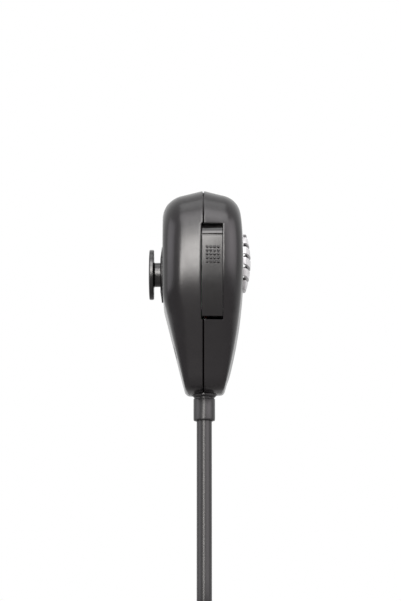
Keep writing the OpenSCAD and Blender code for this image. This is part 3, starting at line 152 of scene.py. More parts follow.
sleeve_end = -61.8
tail_yz = [(0, sleeve_end), (0, -66), (0, -70), (0, -78), (0, -85), (0, -93), (0, -100), (0, -108)]
tail_yz += [(0, -115), (0, -123), (0, -130), (0.6, -138), (3, -147), (8, -157), (14.5, -167)]
tail_yz += [(20, -175.5), (23.2, -182.5), (24, -187)]
lead_yz = [(-24, -266), (-24, -272), (-24, -278), (-24, -284), (-24, -290)]
tail = np.array([(cord_x, y, z) for y, z in tail_yz])
lead = np.array([(cord_x, y, z) for y, z in lead_yz])
cord_points = np.concatenate([tail, helix, lead])


def smooth_path(points, spacing):
    """An even row of points on a smooth curve through the given ones."""
    p = np.concatenate([[2 * points[0] - points[1]], points, [2 * points[-1] - points[-2]]])
    t = np.linspace(0, 1, 10, endpoint=False)[:, None]
    spans = []
    for a, b, c, d in zip(p, p[1:], p[2:], p[3:]):
        bend, twist = 2 * a - 5 * b + 4 * c - d, 3 * b - a - 3 * c + d
        spans.append(0.5 * (2 * b + (c - a) * t + bend * t**2 + twist * t**3))
    dense = np.concatenate(spans + [points[-1:]])
    length = np.concatenate([[0], np.cumsum(np.linalg.norm(np.diff(dense, axis=0), axis=1))])
    even = np.linspace(0, length[-1], int(length[-1] / spacing) + 1)
    return np.stack([np.interp(even, length, dense[:, k]) for k in range(3)], axis=1), length[-1]


cord_path, cord_length = smooth_path(cord_points, spacing=1.35)
print("cord, mm:", round(float(cord_length)), "in", len(cord_path), "points")
print("turns of the helix:", round(float(turned[-1]), 1))

# %% [markdown]
# Small helpers for meshes. A piece is a list of points and faces in millimetres. Primitives and
# modifiers would do for a first block, but a list of points gives every size exactly as drawn.
# Shading is smooth except across an edge that turns by more than its crease angle, which is a little
# wider where something has been cut.

# %% Mesh helpers
plain_crease, cut_crease, soft_crease = 35, 40, 50


def mesh_object(name, points, faces, crease=plain_crease):
    mesh = bpy.data.meshes.new(name)
    mesh.from_pydata([tuple(float(v) * MM for v in p) for p in points], [], [list(f) for f in faces])
    mesh.validate()
    obj = bpy.data.objects.new(name, mesh)
    bpy.context.scene.collection.objects.link(obj)
    return soften(obj, crease)


def soften(obj, crease=plain_crease):
    obj.data.polygons.foreach_set("use_smooth", [True] * len(obj.data.polygons))
    obj.data.set_sharp_from_angle(angle=math.radians(crease))
    return obj


def join_seams(obj, apart=0.002):
    shape = bmesh.new()
    shape.from_mesh(obj.data)
    bmesh.ops.remove_doubles(shape, verts=shape.verts, dist=apart * MM)
    bmesh.ops.recalc_face_normals(shape, faces=shape.faces)
    shape.to_mesh(obj.data)
    shape.free()


print("helpers ready")

# %% [markdown]
# With the helpers at hand the cord gets its skin: a round section carried along the centreline. The
# section must not spin on the way, so each ring takes over the last ring's direction and only leans
# with the path.

# %% Skin of the cord


def tube(name, path, radius, sides=14):
    ahead = np.gradient(path, axis=0)
    ahead /= np.linalg.norm(ahead, axis=1)[:, None]
    aslant = (0.3, 1, 0.2)
    side = np.cross(ahead[0], aslant)
    points = []
    angles = 2 * np.pi * np.arange(sides) / sides
    for at, way in zip(path, ahead):
        side = side - way * side.dot(way)
        side /= np.linalg.norm(side)
        up = np.cross(way, side)
        points += [at + radius * (math.cos(a) * side + math.sin(a) * up) for a in angles]
    faces = []
    for i in range(len(path) - 1):
        for j in range(sides):
            k = (j + 1) % sides
            faces.append([i * sides + j, i * sides + k, (i + 1) * sides + k, (i + 1) * sides + j])
    faces += [list(range(sides))[::-1], [(len(path) - 1) * sides + j for j in range(sides)]]
    obj = mesh_object(name, points, faces, soft_crease)
    join_seams(obj)
    return soften(obj, soft_crease)


cord = tube("cord", cord_path, cord_radius)
print("cord faces:", len(cord.data.polygons))

# %% [markdown]
# The case is injection moulded in two halves, a rear one with the hang button and a front one with
# the grille. Seen from the front it is an egg that narrows to the cord. It could be sculpted, but
# the form is regular: one outline, leaning inwards from the seam to a rounded edge and a flat or
# gently bulging face. So each half is drawn ring by ring from a few sizes, which keeps both halves
# true to each other. First the outline.

# %% Outline of the case
case_top, case_bottom, case_half_width, widest_z = 34.5, 51.5, 30.0, 5.0
shoulder_power, foot_half_width, foot_corner, foot_slope = 2.7, 14.5, 7.0, 0.36
foot_arch_half, foot_arch_rise = 8.0, 0.8
foot_z, corner_z = -case_bottom, foot_corner - case_bottom
top_points, side_points, corner_points, arch_points = 44, 56, 12, 8


def outline(inset):
    """Outline at the seam as rows of (y, z), all the way round from the top's middle."""
    a, b, e = case_half_width - inset, case_top - widest_z - inset, 2 / shoulder_power
    t = np.radians(90 * (1 - np.linspace(0, 1, top_points, endpoint=False)))
    top = np.stack([a * np.cos(t) ** e, widest_z + b * np.sin(t) ** e], 1)
    z = np.linspace(widest_z, corner_z, side_points, endpoint=False)
    length = widest_z - corner_z
    u = (widest_z - z) / length
    w = a + (foot_half_width - case_half_width) * (3 * u**2 - 2 * u**3)
    side = np.stack([w + foot_slope * length * (u**2 - u**3), z], 1)
    foot = foot_half_width - inset
    z0 = foot_z + inset
    climb = 2 * foot_arch_rise / foot_arch_half
    p0 = np.array([foot, corner_z])
    p2 = np.array([foot_arch_half, z0 + foot_arch_rise])
    y1 = (foot - foot_slope * (corner_z - p2[1] + climb * p2[0])) / (1 - foot_slope * climb)
    p1 = np.array([y1, p2[1] + climb * (y1 - p2[0])])
    t = np.linspace(0, 1, corner_points, endpoint=False)[:, None]
    corner = (1 - t) ** 2 * p0 + 2 * t * (1 - t) * p1 + t * t * p2
    t = np.linspace(1, 0, arch_points)
    arch = np.stack([t * foot_arch_half, z0 + foot_arch_rise * t**2], 1)
    half = np.concatenate([top, side, corner, arch])
    return np.concatenate([half, half[-2:0:-1] * [-1, 1]])


print("outline points:", len(outline(0)))

# %% [markdown]
# Then the depth behind and in front of the seam, and the rings between. At every ring the outline
# moves inwards towards an upright line in the middle of the case: along the drafted side first,
# then round the edge, then over the face. The seam gets a small groove, the line where the two
# halves meet on every moulded case; it is fainter round the shoulders and opens into a notch at the
# very top.

# %% Rings of one half
seam_x = 19.35
rear_depth, rear_foot_depth, back_taper_z, back_bend = 16.9, 7.1, -12.1, 2.5
front_depth, front_full_z, front_curve_r, front_crown, wall = 17.0, 4.7, 195.0, 0.6, 2.2
spine_high, spine_low = 9.0, -42.5
# The radius of the edge, along the side and over the top, and what it shrinks to at the foot
rear_edge_r, front_edge_r, foot_r, least_r, foot_from_z = (8.5, 10.5), (9.0, 8.5), 1.8, 0.8, -20
# The draft in degrees, along the side and at the top
rear_draft, front_draft, top_draft = 3, 6, 15
# The groove's loss of depth round the shoulders, and how far up its notch starts and is full
shoulder_loss, notch_from, notch_band = 0.75, 0.9, 0.06


def back_at(z):
    slope = (rear_depth - rear_foot_depth) / (back_taper_z + case_bottom)
    t = back_taper_z - z
    bend = (t + back_bend) ** 2 / (4 * back_bend)
    return rear_depth - slope * np.where(np.abs(t) < back_bend, bend, np.maximum(t, 0))


def front_at(z):
    return front_depth - front_curve_r + np.sqrt(front_curve_r**2 - (z - front_full_z) ** 2)


def ring(side, inset, out=None, inward=None, notch=0, q=None):
    """One ring of a half: at a distance out of the seam, or at a place q on the skin.

    q runs from 0 to 1 along the drafted side, to 2 round the edge and to 3 over the face."""
    yz = outline(inset)
    z = yz[:, 1]
    depth = back_at if side < 0 else front_at
    along, over = rear_edge_r if side < 0 else front_edge_r
    side_draft = rear_draft if side < 0 else front_draft
    up = np.clip((z - widest_z) / (case_top - widest_z), 0, 1) ** 2
    low = np.clip((foot_from_z - z) / (foot_from_z - foot_z), 0, 1)
    r = along + (over - along) * up
    r = np.maximum(r + (foot_r - r) * low - inset, least_r)
    lean = np.radians(side_draft + (top_draft - side_draft) * up)
    d = depth(z) - inset
    straight_part = d - r * (1 - np.sin(lean))
    spine = np.stack([0 * z, np.clip(z, spine_low, spine_high)], 1) - yz
    span = np.linalg.norm(spine, axis=1)
    crown = 0
    if q is None:
        out = np.full_like(z, out)
        top = np.clip((up - notch_from) / notch_band, 0, 1)
        fade = 1 - shoulder_loss * np.sin(math.pi * up)
        inward = inward * fade + notch * top + out * np.tan(lean)
    elif q < 1:
        out = q * straight_part
        inward = out * np.tan(lean)
    else:
        turn = lean + (math.pi / 2 - lean) * min(q - 1, 1)
        out = straight_part + r * (np.sin(turn) - np.sin(lean))
        inward = straight_part * np.tan(lean) + r * (np.cos(lean) - np.cos(turn))
        over_face = max(q - 2, 0)
        inward = inward + (span - inward) * over_face
        if side > 0:
            crown = front_crown * (1 - over_face) ** 2 * (1 + 2 * over_face)
            crown = crown * np.clip(q - 1, 0, 1)
    at = yz + (inward / span)[:, None] * spine
    x = seam_x + side * (depth(at[:, 1]) - inset - crown) * out / d
    return np.column_stack([x, at])


print("depth in front of the seam, mm:", round(float(front_at(front_full_z)), 2))
print("depth behind it, mm:", round(float(back_at(front_full_z)), 2))

# %% [markdown]
# The two halves as closed shells: outer skin, rim at the seam, inner skin. The rows lie close
# together round the edge, where the form turns, and wide apart where it is straight.

# %% Skin of one half
# Rows of the groove: distance out of the seam, depth there, and extra depth in the notch
groove = [(0, 1.3, 0.4), (0.30, 0.30, 1.2), (0.38, 0.06, 0.1), (0.55, 0.01, 0), (0.9, 0, 0)]


def half_shell(name, side):
    face = [2] if side < 0 else [2.93, 2.85, 2.7, 2.55, 2.4, 2.25, 2.12, 2.04, 2]
    edge = list(np.linspace(2, 1, 17)[1:]) + [0.8, 0.6, 0.4, 0.2]
    inner = [0, 0.5, 1, 1.25, 1.5, 1.75, 2] + ([] if side < 0 else [2.5, 2.93])
    rows = [ring(side, 0, q=q) for q in face + edge]
    rows += [ring(side, 0, *row) for row in reversed(groove)]
    rows += [ring(side, wall, q=q) for q in inner]
    n, last, half = len(rows[0]), len(rows) - 1, len(rows[0]) // 2
    faces = []
    for k in range(last):
        for i in range(n):
            j = (i + 1) % n
            faces.append([(k + 1) * n + i, (k + 1) * n + j, k * n + j, k * n + i])
    for start, flip in ((0, 1), (last * n, -1)):
        for i in range(half):
            ladder = [start + i, start + i + 1, start + (n - i - 1) % n, start + (n - i) % n]
            ladder = list(dict.fromkeys(ladder))
            faces.append(ladder[::flip])
    obj = mesh_object(name, np.concatenate(rows), faces)
    join_seams(obj)
    return obj


rear_half = half_shell("case_rear", -1)
front_half = half_shell("case_front", 1)
print("faces:", len(rear_half.data.polygons), len(front_half.data.polygons))

# %% [markdown]
# Round pieces and openings come next. A screw modifier could turn a round piece, but here its half
# section is turned in numbers, and a placing function lays it along an axis. An opening is a boolean
# cut with a box, a rod or a turned piece, and the cutter is thrown away afterwards.

# %% Turned pieces and cutters


def lathe(name, section, place, sides=96):
    """Turns a closed section of (radius, height) round +Z, then places the piece."""
    angles = 2 * np.pi * np.arange(sides) / sides
    rows = len(section)
    local = [(r * math.cos(a), r * math.sin(a), h) for a in angles for r, h in section]
    points = [place(p) for p in local]
    faces = []
    for i in range(sides):
        j = (i + 1) % sides
        for k in range(rows):
            m = (k + 1) % rows
            if section[k][0] == 0 and section[m][0] == 0:
                continue
            face = [i * rows + k, j * rows + k, j * rows + m, i * rows + m]
            if section[k][0] == 0:
                face = [i * rows + k, j * rows + m, i * rows + m]
            elif section[m][0] == 0:
                face = [i * rows + k, j * rows + k, i * rows + m]
            faces.append(face)
    obj = mesh_object(name, points, faces)
    join_seams(obj)
    return soften(obj)


def along_x(x0, y0, z0, tip=0):
    """Places a turned piece with its axis along +X from (x0, y0, z0), tipped down by an angle."""
    c, s = math.cos(math.radians(tip)), math.sin(math.radians(tip))
    return lambda p: (x0 + c * p[2] + s * p[0], y0 + p[1], z0 - s * p[2] + c * p[0])


def along_z(x0, y0, z0):
    return lambda p: (x0 + p[0], y0 + p[1], z0 + p[2])


def rod_x(name, x0, x1, y, z, radius, sides=64):
    """A plain rod along X from x0 to x1, round the line at y and z."""
    section = [(0, x0), (radius, x0), (radius, x1), (0, x1)]
    return lathe(name, section, along_x(0, y, z), sides)


def box_object(name, low, high):
    x0, y0, z0 = low
    x1, y1, z1 = high
    points = [(x, y, z) for x in (x0, x1) for y in (y0, y1) for z in (z0, z1)]
    faces = [(0, 1, 3, 2), (4, 6, 7, 5), (0, 4, 5, 1), (2, 3, 7, 6), (0, 2, 6, 4), (1, 5, 7, 3)]
    return mesh_object(name, points, faces)


def settle(obj):
    """Makes the modifiers' result the mesh itself."""
    result = bpy.data.meshes.new_from_object(obj.evaluated_get(bpy.context.evaluated_depsgraph_get()))
    old = obj.data
    obj.modifiers.clear()
    obj.data = result
    bpy.data.meshes.remove(old)


def cut(obj, *cutters):
    for cutter in cutters:
        step = obj.modifiers.new("cut", "BOOLEAN")
        step.object = cutter
        step.operation = "DIFFERENCE"
        step.solver = "EXACT"
    settle(obj)
    for cutter in cutters:
        bpy.data.objects.remove(cutter)


print("lathe and cutters ready")

# %% [markdown]
# Openings. A toolmaker leaves them out of the mould with inserts; here cutters take them out of the
# finished skin: the lever's slot, the way out for the cord with a round recess, the seat of the
# grille, and the deep holes of the three case screws.

# %% Openings of the case
slot_x, slot_z = (seam_x - 0.9, seam_x + 8.1), (-22.8, 16.5)
slot_floor_y, outside_y = -20.3, -32
grille_z, grille_r, grille_tilt, grille_gap = 4.7, 12.6, 1.0, 0.15
grille_at = (seam_x + front_depth, 0, grille_z)
sleeve_neck_r, foot_recess_r, foot_recess = 4.0, 5.3, 1.0
case_screws = ((13, 25), (-13, 25), (0, -33))
counterbore_r, bore_from, bore_to = 2.9, -2, seam_x - 6


def slot_cutter():
    low, high = (slot_x[0], outside_y, slot_z[0]), (slot_x[1], slot_floor_y, slot_z[1])
    return box_object("cutter", low, high)


def cord_cutter():
    below, above = -2, 4
    section = [(0, below), (foot_recess_r, below), (foot_recess_r, foot_recess)]
    section += [(sleeve_neck_r, foot_recess), (sleeve_neck_r, above), (0, above)]
    return lathe("cutter", section, along_z(cord_x, 0, foot_z), sides=72)


def grille_cutter():
    ledge_width = 1.6
    ledge_r, seat_r = grille_r - ledge_width, grille_r + grille_gap
    inside, ledge, outside = -8, -3.2, 5
    section = [(0, inside), (ledge_r, inside), (ledge_r, ledge), (seat_r, ledge)]
    section += [(seat_r, outside), (0, outside)]
    return lathe("cutter", section, along_x(*grille_at, grille_tilt), sides=120)


cut(rear_half, slot_cutter(), cord_cutter())
cut(front_half, slot_cutter(), cord_cutter(), grille_cutter())
bores = [rod_x("cutter", bore_from, bore_to, y, z, counterbore_r) for y, z in case_screws]
cut(rear_half, *bores)
print("faces after cutting:", len(rear_half.data.polygons), len(front_half.data.polygons))

# %% [markdown]
# A knife edge never shows a highlight and a moulded one always does, so the edges of these openings
# are broken by a fifth of a millimetre. Those of the lever's slot get half of that, because the gap
# beside the lever is narrow. A small test for each opening finds its edges by where they lie.

# %% Broken edges of the case
slot_edge_width = 0.1
skin_y, near_back, near_front = -22, 14, seam_x + 14
hair, touching = 0.01, 0.05


def break_edges(obj, where, width=0.2, segments=2):
    """Bevels the sharp edges whose middle, in millimetres, passes the test."""
    shape = bmesh.new()
    shape.from_mesh(obj.data)
    chosen = []
    for edge in shape.edges:
        if len(edge.link_faces) == 2 and edge.calc_face_angle(0) > math.radians(cut_crease):
            middle = (edge.verts[0].co + edge.verts[1].co) / 2 / MM
            if where(*middle):
                chosen.append(edge)
    bmesh.ops.bevel(
        shape,
        geom=chosen,
        offset=width * MM,
        segments=segments,
        profile=0.5,
        affect="EDGES",
        clamp_overlap=True,
    )
    shape.to_mesh(obj.data)
    shape.free()
    return len(chosen)


def near_slot(x, y, z):
    in_x = slot_x[0] - hair <= x <= slot_x[1] + hair
    in_z = slot_z[0] - hair <= z <= slot_z[1] + hair
    return in_x and in_z and y < skin_y


def near_foot(x, y, z):
    return z < foot_z + 3 and abs(math.hypot(x - cord_x, y) - foot_recess_r) < touching


def near_grille(x, y, z):
    return x > near_front and abs(math.hypot(y, z - grille_z) - grille_r) < 0.8


def near_bore(x, y, z):
    off = [abs(math.hypot(y - a, z - b) - counterbore_r) for a, b in case_screws]
    return x < near_back and min(off) < touching


broken = break_edges(rear_half, lambda *p: near_foot(*p) or near_bore(*p))
broken += break_edges(front_half, lambda *p: near_foot(*p) or near_grille(*p))
for half in (rear_half, front_half):
    broken += break_edges(half, near_slot, width=slot_edge_width)
    soften(half, cut_crease)
    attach(half, "root")
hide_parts("rear_shell")
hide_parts("front_shell")
print("edges broken:", broken)

# %% [markdown]
# The push-to-talk lever is a single moulding that rocks on a pin low in the case. Its long face
# bows outwards, with a block of twenty small studs for the thumb, and above the pad a step leads to
# a lip that curls into the case. It could be carved from a block, but every part of it runs straight
# through from side to side, so its side view is drawn as one outline.

# %% Outline of the lever
lever_x = (seam_x - 0.65, seam_x + 7.9)
lever_low, pad_top, lever_bow, lever_full_z, lever_proud = -21.7, 10.9, 64.0, 6.0, 31.2
pivot_y, pivot_z, knuckle_r = -20.6, -18.2, 2.3


def lever_face(z):
    return -lever_proud + lever_bow - math.sqrt(lever_bow**2 - (z - lever_full_z) ** 2)


lip_back, lip_gap, gap_depth = 0.9, 0.7, 0.5
lip_y = lever_face(pad_top) + lip_back
lip_low, lip_deep, lip_tall = pad_top + lip_gap, 6.4, 4.5
face_z = np.linspace(lever_low, pad_top, 34)
side_view = [(lever_face(z), z) for z in face_z]
side_view += [(lip_y + gap_depth, pad_top), (lip_y + gap_depth, lip_low), (lip_y, lip_low)]
for a in np.radians(np.linspace(5, 88, 22)):
    side_view.append((lip_y + lip_deep * (1 - math.cos(a)), lip_low + lip_tall * math.sin(a)))
# The inside: a tab that stops in the case, the boss that presses the switch, and the knuckle
inner_y, tab_y, tab_t, tab_top, tab_low, boss_z, boss_y = -25.8, -23.6, 1, 17.2, 14.6, (5.9, 8.9), -23.85
knuckle_y = pivot_y + 1.2
side_view += [(tab_y, lip_low + lip_tall), (tab_y, tab_top), (tab_y + tab_t, tab_top)]
side_view += [(tab_y + tab_t, tab_low), (inner_y, tab_low - 1.5), (inner_y, boss_z[1])]
side_view += [(boss_y, boss_z[1]), (boss_y, boss_z[0]), (inner_y, boss_z[0]), (inner_y, pivot_z + 4)]
side_view += [(knuckle_y, pivot_z + knuckle_r), (knuckle_y, lever_low)]
print("lever outline points:", len(side_view))

# %% [markdown]
# The outline becomes a block between two flat sides, and a bore takes the pin. Only the edges that
# a thumb or the light can reach are rounded, those of the long face and of the lip.

# %% Lever
pin_bore_r, lever_edge_width = 1.05, 0.32
n = len(side_view)
lever_points = [(x, y, z) for x in lever_x for y, z in side_view]
lever_faces = [[i, (i + 1) % n, n + (i + 1) % n, n + i] for i in range(n)]
lever_faces += [list(range(n))[::-1], [n + i for i in range(n)]]
lever = mesh_object("lever", lever_points, lever_faces)
join_seams(lever)
pin_bore = rod_x("cutter", lever_x[0] - 1, lever_x[1] + 1, pivot_y, pivot_z, pin_bore_r, sides=32)
cut(lever, pin_bore)


def outer_lever_edge(x, y, z):
    if z < pad_top + hair:
        return y < lever_face(z) + 2 * hair
    return y < tab_y - hair and z > lip_low - hair


rounded = break_edges(lever, outer_lever_edge, width=lever_edge_width, segments=3)
print("lever edges rounded:", rounded)

# %% [markdown]
# The studs are low domes with a straight foot. They could be a bump texture, but they are big
# enough to catch the light one by one and to be felt, so they are real shapes, joined to the lever
# as one piece. Each is given its smooth shading before it is joined, because the lever's own shading
# is weighted by its faces first.

# %% Studs on the lever
stud_rows, stud_columns, stud_pitch, stud_z, stud_x = 5, 4, 1.53, 2.9, seam_x + 3.79
stud_r, stud_h, stud_foot, stud_root = 0.62, 0.5, 0.15, -0.3
stud_section = [(0, stud_root), (stud_r, stud_root), (stud_r, stud_foot)]
dome_steps = [15, 32, 50, 68, 80]
for a in np.radians(dome_steps):
    stud_section.append((stud_r * math.cos(a), stud_foot + (stud_h - stud_foot) * math.sin(a)))
stud_section.append((0, stud_h))
studs = []
for row in range(stud_rows):
    for column in range(stud_columns):
        z = stud_z + (row - (stud_rows - 1) / 2) * stud_pitch
        x = stud_x + (column - (stud_columns - 1) / 2) * stud_pitch
        y = lever_face(z)
        studs.append(lathe("stud", stud_section, lambda p: (x + p[0], y - p[2], z + p[1]), sides=20))
        soften(studs[-1], cut_crease)


def even_shading(obj):
    """Lets the large faces set the shading, so that a flat stays flat beside a rounded edge."""
    step = obj.modifiers.new("even", "WEIGHTED_NORMAL")
    step.mode, step.weight, step.keep_sharp = "FACE_AREA", 80, True
    settle(obj)


def join(first, others):
    """Joins the other meshes into the first one, without an operator."""
    shape = bmesh.new()
    shape.from_mesh(first.data)
    for other in others:
        shape.from_mesh(other.data)
        bpy.data.objects.remove(other)
    shape.to_mesh(first.data)
    shape.free()


soften(lever, cut_crease)
even_shading(lever)
join(lever, studs)
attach(lever, "lever")
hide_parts("ptt_lever")
print("studs:", stud_rows * stud_columns, "lever faces:", len(lever.data.polygons))

# %% [markdown]
# The grille is a shallow silver dome with six slots, of which the outer two just nick its rim. It is
# pressed or moulded in one piece, so the slats are strips of the same dome and their edges are
# soft. It could be built from six bars and a ring, but then the dome would have to be bent into
# every bar. So a dome is turned from its section, the slots are cut through it, and the cut edges
# are rounded.

# %% Grille
grille_rise, grille_step, grille_wall, skirt = 2.9, 0.7, 1.2, 2.9
slot_count, slot_pitch, slot_h, slot_sink, slot_drop = 6, 4.6, 1.7, 0.4, 0.85
slat_edge_width, slat_reach = 0.3, 11.2
dome_h = grille_rise - grille_step
dome_r = (grille_r**2 + dome_h**2) / (2 * dome_h)


def dome_height(radius, inset=0.0):
    return grille_rise - dome_r + math.sqrt((dome_r - inset) ** 2 - radius**2)


inner_r = grille_r - grille_wall
rim_r = grille_r - 0.4
grille_section = [(r, dome_height(r)) for r in np.linspace(0, rim_r, 20)]
# The rim rolls over in two steps and drops to the skirt
grille_section += [(grille_r - 0.12, grille_step - 0.1), (grille_r, grille_step - 0.35)]
grille_section += [(grille_r, -skirt), (inner_r, -skirt)]
grille_section += [(r, dome_height(r, grille_wall)) for r in np.linspace(inner_r, 0, 14)]
grille_place = along_x(*grille_at, grille_tilt)
grille = lathe("grille_dome", grille_section, grille_place, sides=144)
cutters = []
beside, above = grille_r + 1, 4.0
for k in range(slot_count):
    middle = (k - (slot_count - 1) / 2) * slot_pitch - slot_drop
    low, high = (middle - slot_h / 2, -beside, -slot_sink), (middle + slot_h / 2, beside, above)
    cutter = box_object("cutter", low, high)
    for vertex in cutter.data.vertices:
        vertex.co = Vector(grille_place(vertex.co / MM)) * MM
    join_seams(cutter)
    cutters.append(cutter)
cut(grille, *cutters)


def slat_edge(x, y, z):
    return x > grille_at[0] + 0.2 and abs(z - grille_z) < slat_reach


rounded = break_edges(grille, slat_edge, width=slat_edge_width, segments=3)
print("slat edges rounded:", rounded)
soften(grille, cut_crease)
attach(grille, "root")
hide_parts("grille")

# %% [markdown]
# The rubber sleeve keeps the cord from kinking at the case. Moulded rubber has no sharp edges: a
# short cone fills the recess in the case and tapers down to a fine groove, and the lower rim has a
# small chamfer and a shadow gap round the cord. Inside the case a neck passes the wall and a flange
# holds it there. All of it is round, so it is turned from one section.

# %% Sleeve round the cord
sleeve_r, cone_r, neck_r, flange_r = 4.5, 5.1, 3.9, 5.3
sleeve_section = [
    (cord_radius + 0.02, sleeve_end + 0.9),
    (cord_radius + 0.35, sleeve_end + 0.25),
    (cord_radius + 0.45, sleeve_end + 0.03),
    (cord_radius + 0.6, sleeve_end),
    (sleeve_r - 0.45, sleeve_end),
    (sleeve_r - 0.18, sleeve_end + 0.1),
    (sleeve_r - 0.03, sleeve_end + 0.4),
    (sleeve_r, sleeve_end + 0.75),
    (sleeve_r, foot_z - 1.3),
    (sleeve_r - 0.15, foot_z - 1.05),
    (sleeve_r - 0.4, foot_z - 0.95),
    (sleeve_r - 0.4, foot_z - 0.65),
    (sleeve_r - 0.1, foot_z - 0.5),
    (cone_r, foot_z + 0.25),
    (cone_r + 0.05, foot_z + 0.9),
    (neck_r, foot_z + 1.0),
    (neck_r, foot_z + 2.2),
    (flange_r, foot_z + 2.2),
    (flange_r, foot_z + 3.8),
    (cord_radius + 0.02, foot_z + 3.8),
]
sleeve = lathe("sleeve", sleeve_section, along_z(cord_x, 0, 0), sides=72)
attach(sleeve, "root")
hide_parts("strain_relief")
print("sleeve faces:", len(sleeve.data.polygons))

# %% [markdown]
# The strap round the folded cord is a woven hook-and-loop tie: a band that follows the three runs
# and laps over itself on one side. A cloth simulation could wrap it, but a tie pulled tight is a
# plain form, so it is built directly: the closed line round the runs, given a width and a thickness,
# with a crown across the width where the loops press out.

# %% Strap
strap_low, strap_high, strap_t, strap_rim, strap_bulge = -225.0, -215.0, 1.3, 0.35, 1.1
coil_r, strap_play = 9.4, 0.25
strap_r = coil_r + strap_play


def strap_line(offset, start=0.0, end=1.0, count=180):
    """Points of (x, y) round the runs at a distance from them, from one share of the way to another."""
    r = strap_r + offset
    flat = 2 * run_y[0]
    total = 2 * flat + 2 * math.pi * r
    found = []
    for s in np.linspace(start, end, count) * total:
        s = (s + flat / 2) % total
        if s < flat:
            found.append((-r, flat / 2 - s))
        elif s < flat + math.pi * r:
            a = (s - flat) / r
            found.append((-r * math.cos(a), -flat / 2 - r * math.sin(a)))
        elif s < 2 * flat + math.pi * r:
            found.append((r, -flat / 2 + s - flat - math.pi * r))
        else:
            a = (s - 2 * flat - math.pi * r) / r
            found.append((r * math.cos(a), flat / 2 + r * math.sin(a)))
    return found


def band(name, inner, outer, closed):
    """A strip between two lines of (x, y), as high as the strap, with rounded long edges.

    Its section is given in rows of (share of the way from the inner line to the outer, height)."""
    low_rim, high_rim, middle = strap_low + strap_rim, strap_high - strap_rim, (strap_low + strap_high) / 2
    section = [(0, low_rim), (0.3, strap_low), (0.7, strap_low), (1, low_rim), (strap_bulge, middle)]
    section += [(1, high_rim), (0.7, strap_high), (0.3, strap_high), (0, high_rim)]
    points = []
    for (x0, y0), (x1, y1) in zip(inner, outer):
        points += [(cord_x + (x0 + (x1 - x0) * w), y0 + (y1 - y0) * w, z) for w, z in section]
    m, count = len(section), len(inner)
    faces = []
    for i in range(count if closed else count - 1):
        j = (i + 1) % count
        for k in range(m):
            faces.append([i * m + k, i * m + (k + 1) % m, j * m + (k + 1) % m, j * m + k])
    if not closed:
        faces += [list(range(m)), [(count - 1) * m + k for k in range(m)][::-1]]
    obj = mesh_object(name, points, faces)
    join_seams(obj)
    return soften(obj, soft_crease)


strap = band("strap", strap_line(0)[:-1], strap_line(strap_t)[:-1], True)
tab_span, tab_gap, tab_rise = (-0.12, 0.1), 0.05, 1.1
tab_in = strap_line(strap_t + tab_gap, *tab_span, count=60)
tab_out = strap_line(strap_t + tab_rise, *tab_span, count=60)
join(strap, [band("strap_tab", tab_in, tab_out, False)])
soften(strap, soft_crease)
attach(strap, "root")
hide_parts("cord_tie")
print("strap faces:", len(strap.data.polygons))

# %% [markdown]
# The cord stands for the plain tubes of the frame, which are hidden here. The plug's parts
# are listed with it.

# %% Cord's facts
plug_parts = ["plug_shell", "plug_grommet", "plug_clamp", "plug_clamp_screw_1", "plug_clamp_screw_2"]
plug_parts += ["plug_barrel", "plug_insert", "plug_contacts", "coupling_ring"]
nodes = frame["nodes"]
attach(cord, "root")
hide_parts("cord_tail", "cord_coil", "plug_lead")
print("declared cord, m:", round(float(cord_length) * MM, 3))

# %% [markdown]
# Finishes. Nearly everything here is moulded plastic or rubber, and what makes such a surface look
# real is small: a fine spark-eroded grain that breaks up the highlight, faint clouds where the
# plastic flowed, and edges rubbed a little smoother and paler. These effects are shared, so each is
# a node group with its own inputs, placed in every material that needs it.

# %% Group helpers


def new_group(name, inputs, outputs):
    """A shader node group. Inputs and outputs are (name, kind, default) rows."""
    tree = bpy.data.node_groups.new(name, "ShaderNodeTree")
    for label, kind, default in inputs:
        socket = tree.interface.new_socket(name=label, in_out="INPUT", socket_type=kind)
        socket.default_value = default
    for label, kind in outputs:
        tree.interface.new_socket(name=label, in_out="OUTPUT", socket_type=kind)
    return tree, tree.nodes.new("NodeGroupInput"), tree.nodes.new("NodeGroupOutput")


def node(tree, kind, links=(), **settings):
    """Adds a node, sets its properties, and links its inputs, given by number or name, to sockets.

    A setting such as in_2=5 is the value of input number 2, and any other is a property."""
    made = tree.nodes.new(kind)
    for key, value in settings.items():
        if key.startswith("in_"):
            made.inputs[int(key[3:])].default_value = value
        else:
            setattr(made, key, value)
    for index, source in links:
        tree.links.new(source, made.inputs[index])
    return made


def maths(tree, operation, a, b=0.0, clamp=False):
    """A Math node. a and b are sockets or numbers."""
    made = tree.nodes.new("ShaderNodeMath")
    made.operation, made.use_clamp = operation, clamp
    for index, value in enumerate((a, b)):
        if isinstance(value, (int, float)):
            made.inputs[index].default_value = value
        else:
            tree.links.new(value, made.inputs[index])
    return made.outputs[0]


def noise(tree, vector, scale, detail, roughness=0.5):
    """A noise texture at a vector. Its scale, a socket or a number, counts cells in a metre."""
    made = node(tree, "ShaderNodeTexNoise", [(0, vector)], in_3=detail, in_4=roughness)
    if isinstance(scale, (int, float)):
        made.inputs[2].default_value = scale
    else:
        tree.links.new(scale, made.inputs[2])
    return made.outputs["Fac"]


def between(tree, value, low, high):
    """A mask that rises from 0 at the low value to 1 at the high one."""
    return node(tree, "ShaderNodeMapRange", [(0, value)], in_1=low, in_2=high).outputs[0]


def own_place(tree):
    """The place of a point in the object's own space, in metres."""
    return node(tree, "ShaderNodeTexCoord").outputs["Object"]


FLOAT, COLOUR = "NodeSocketFloat", "NodeSocketColor"
print("group helpers ready")

# %% [markdown]
# The grain group. One fine noise gives the height of the grain, a coarse one gives the clouds, and
# both tint the colour a little and vary the roughness. The noise is measured in the object's own
# millimetres, so a grain of a third of a millimetre is the same size on every part.

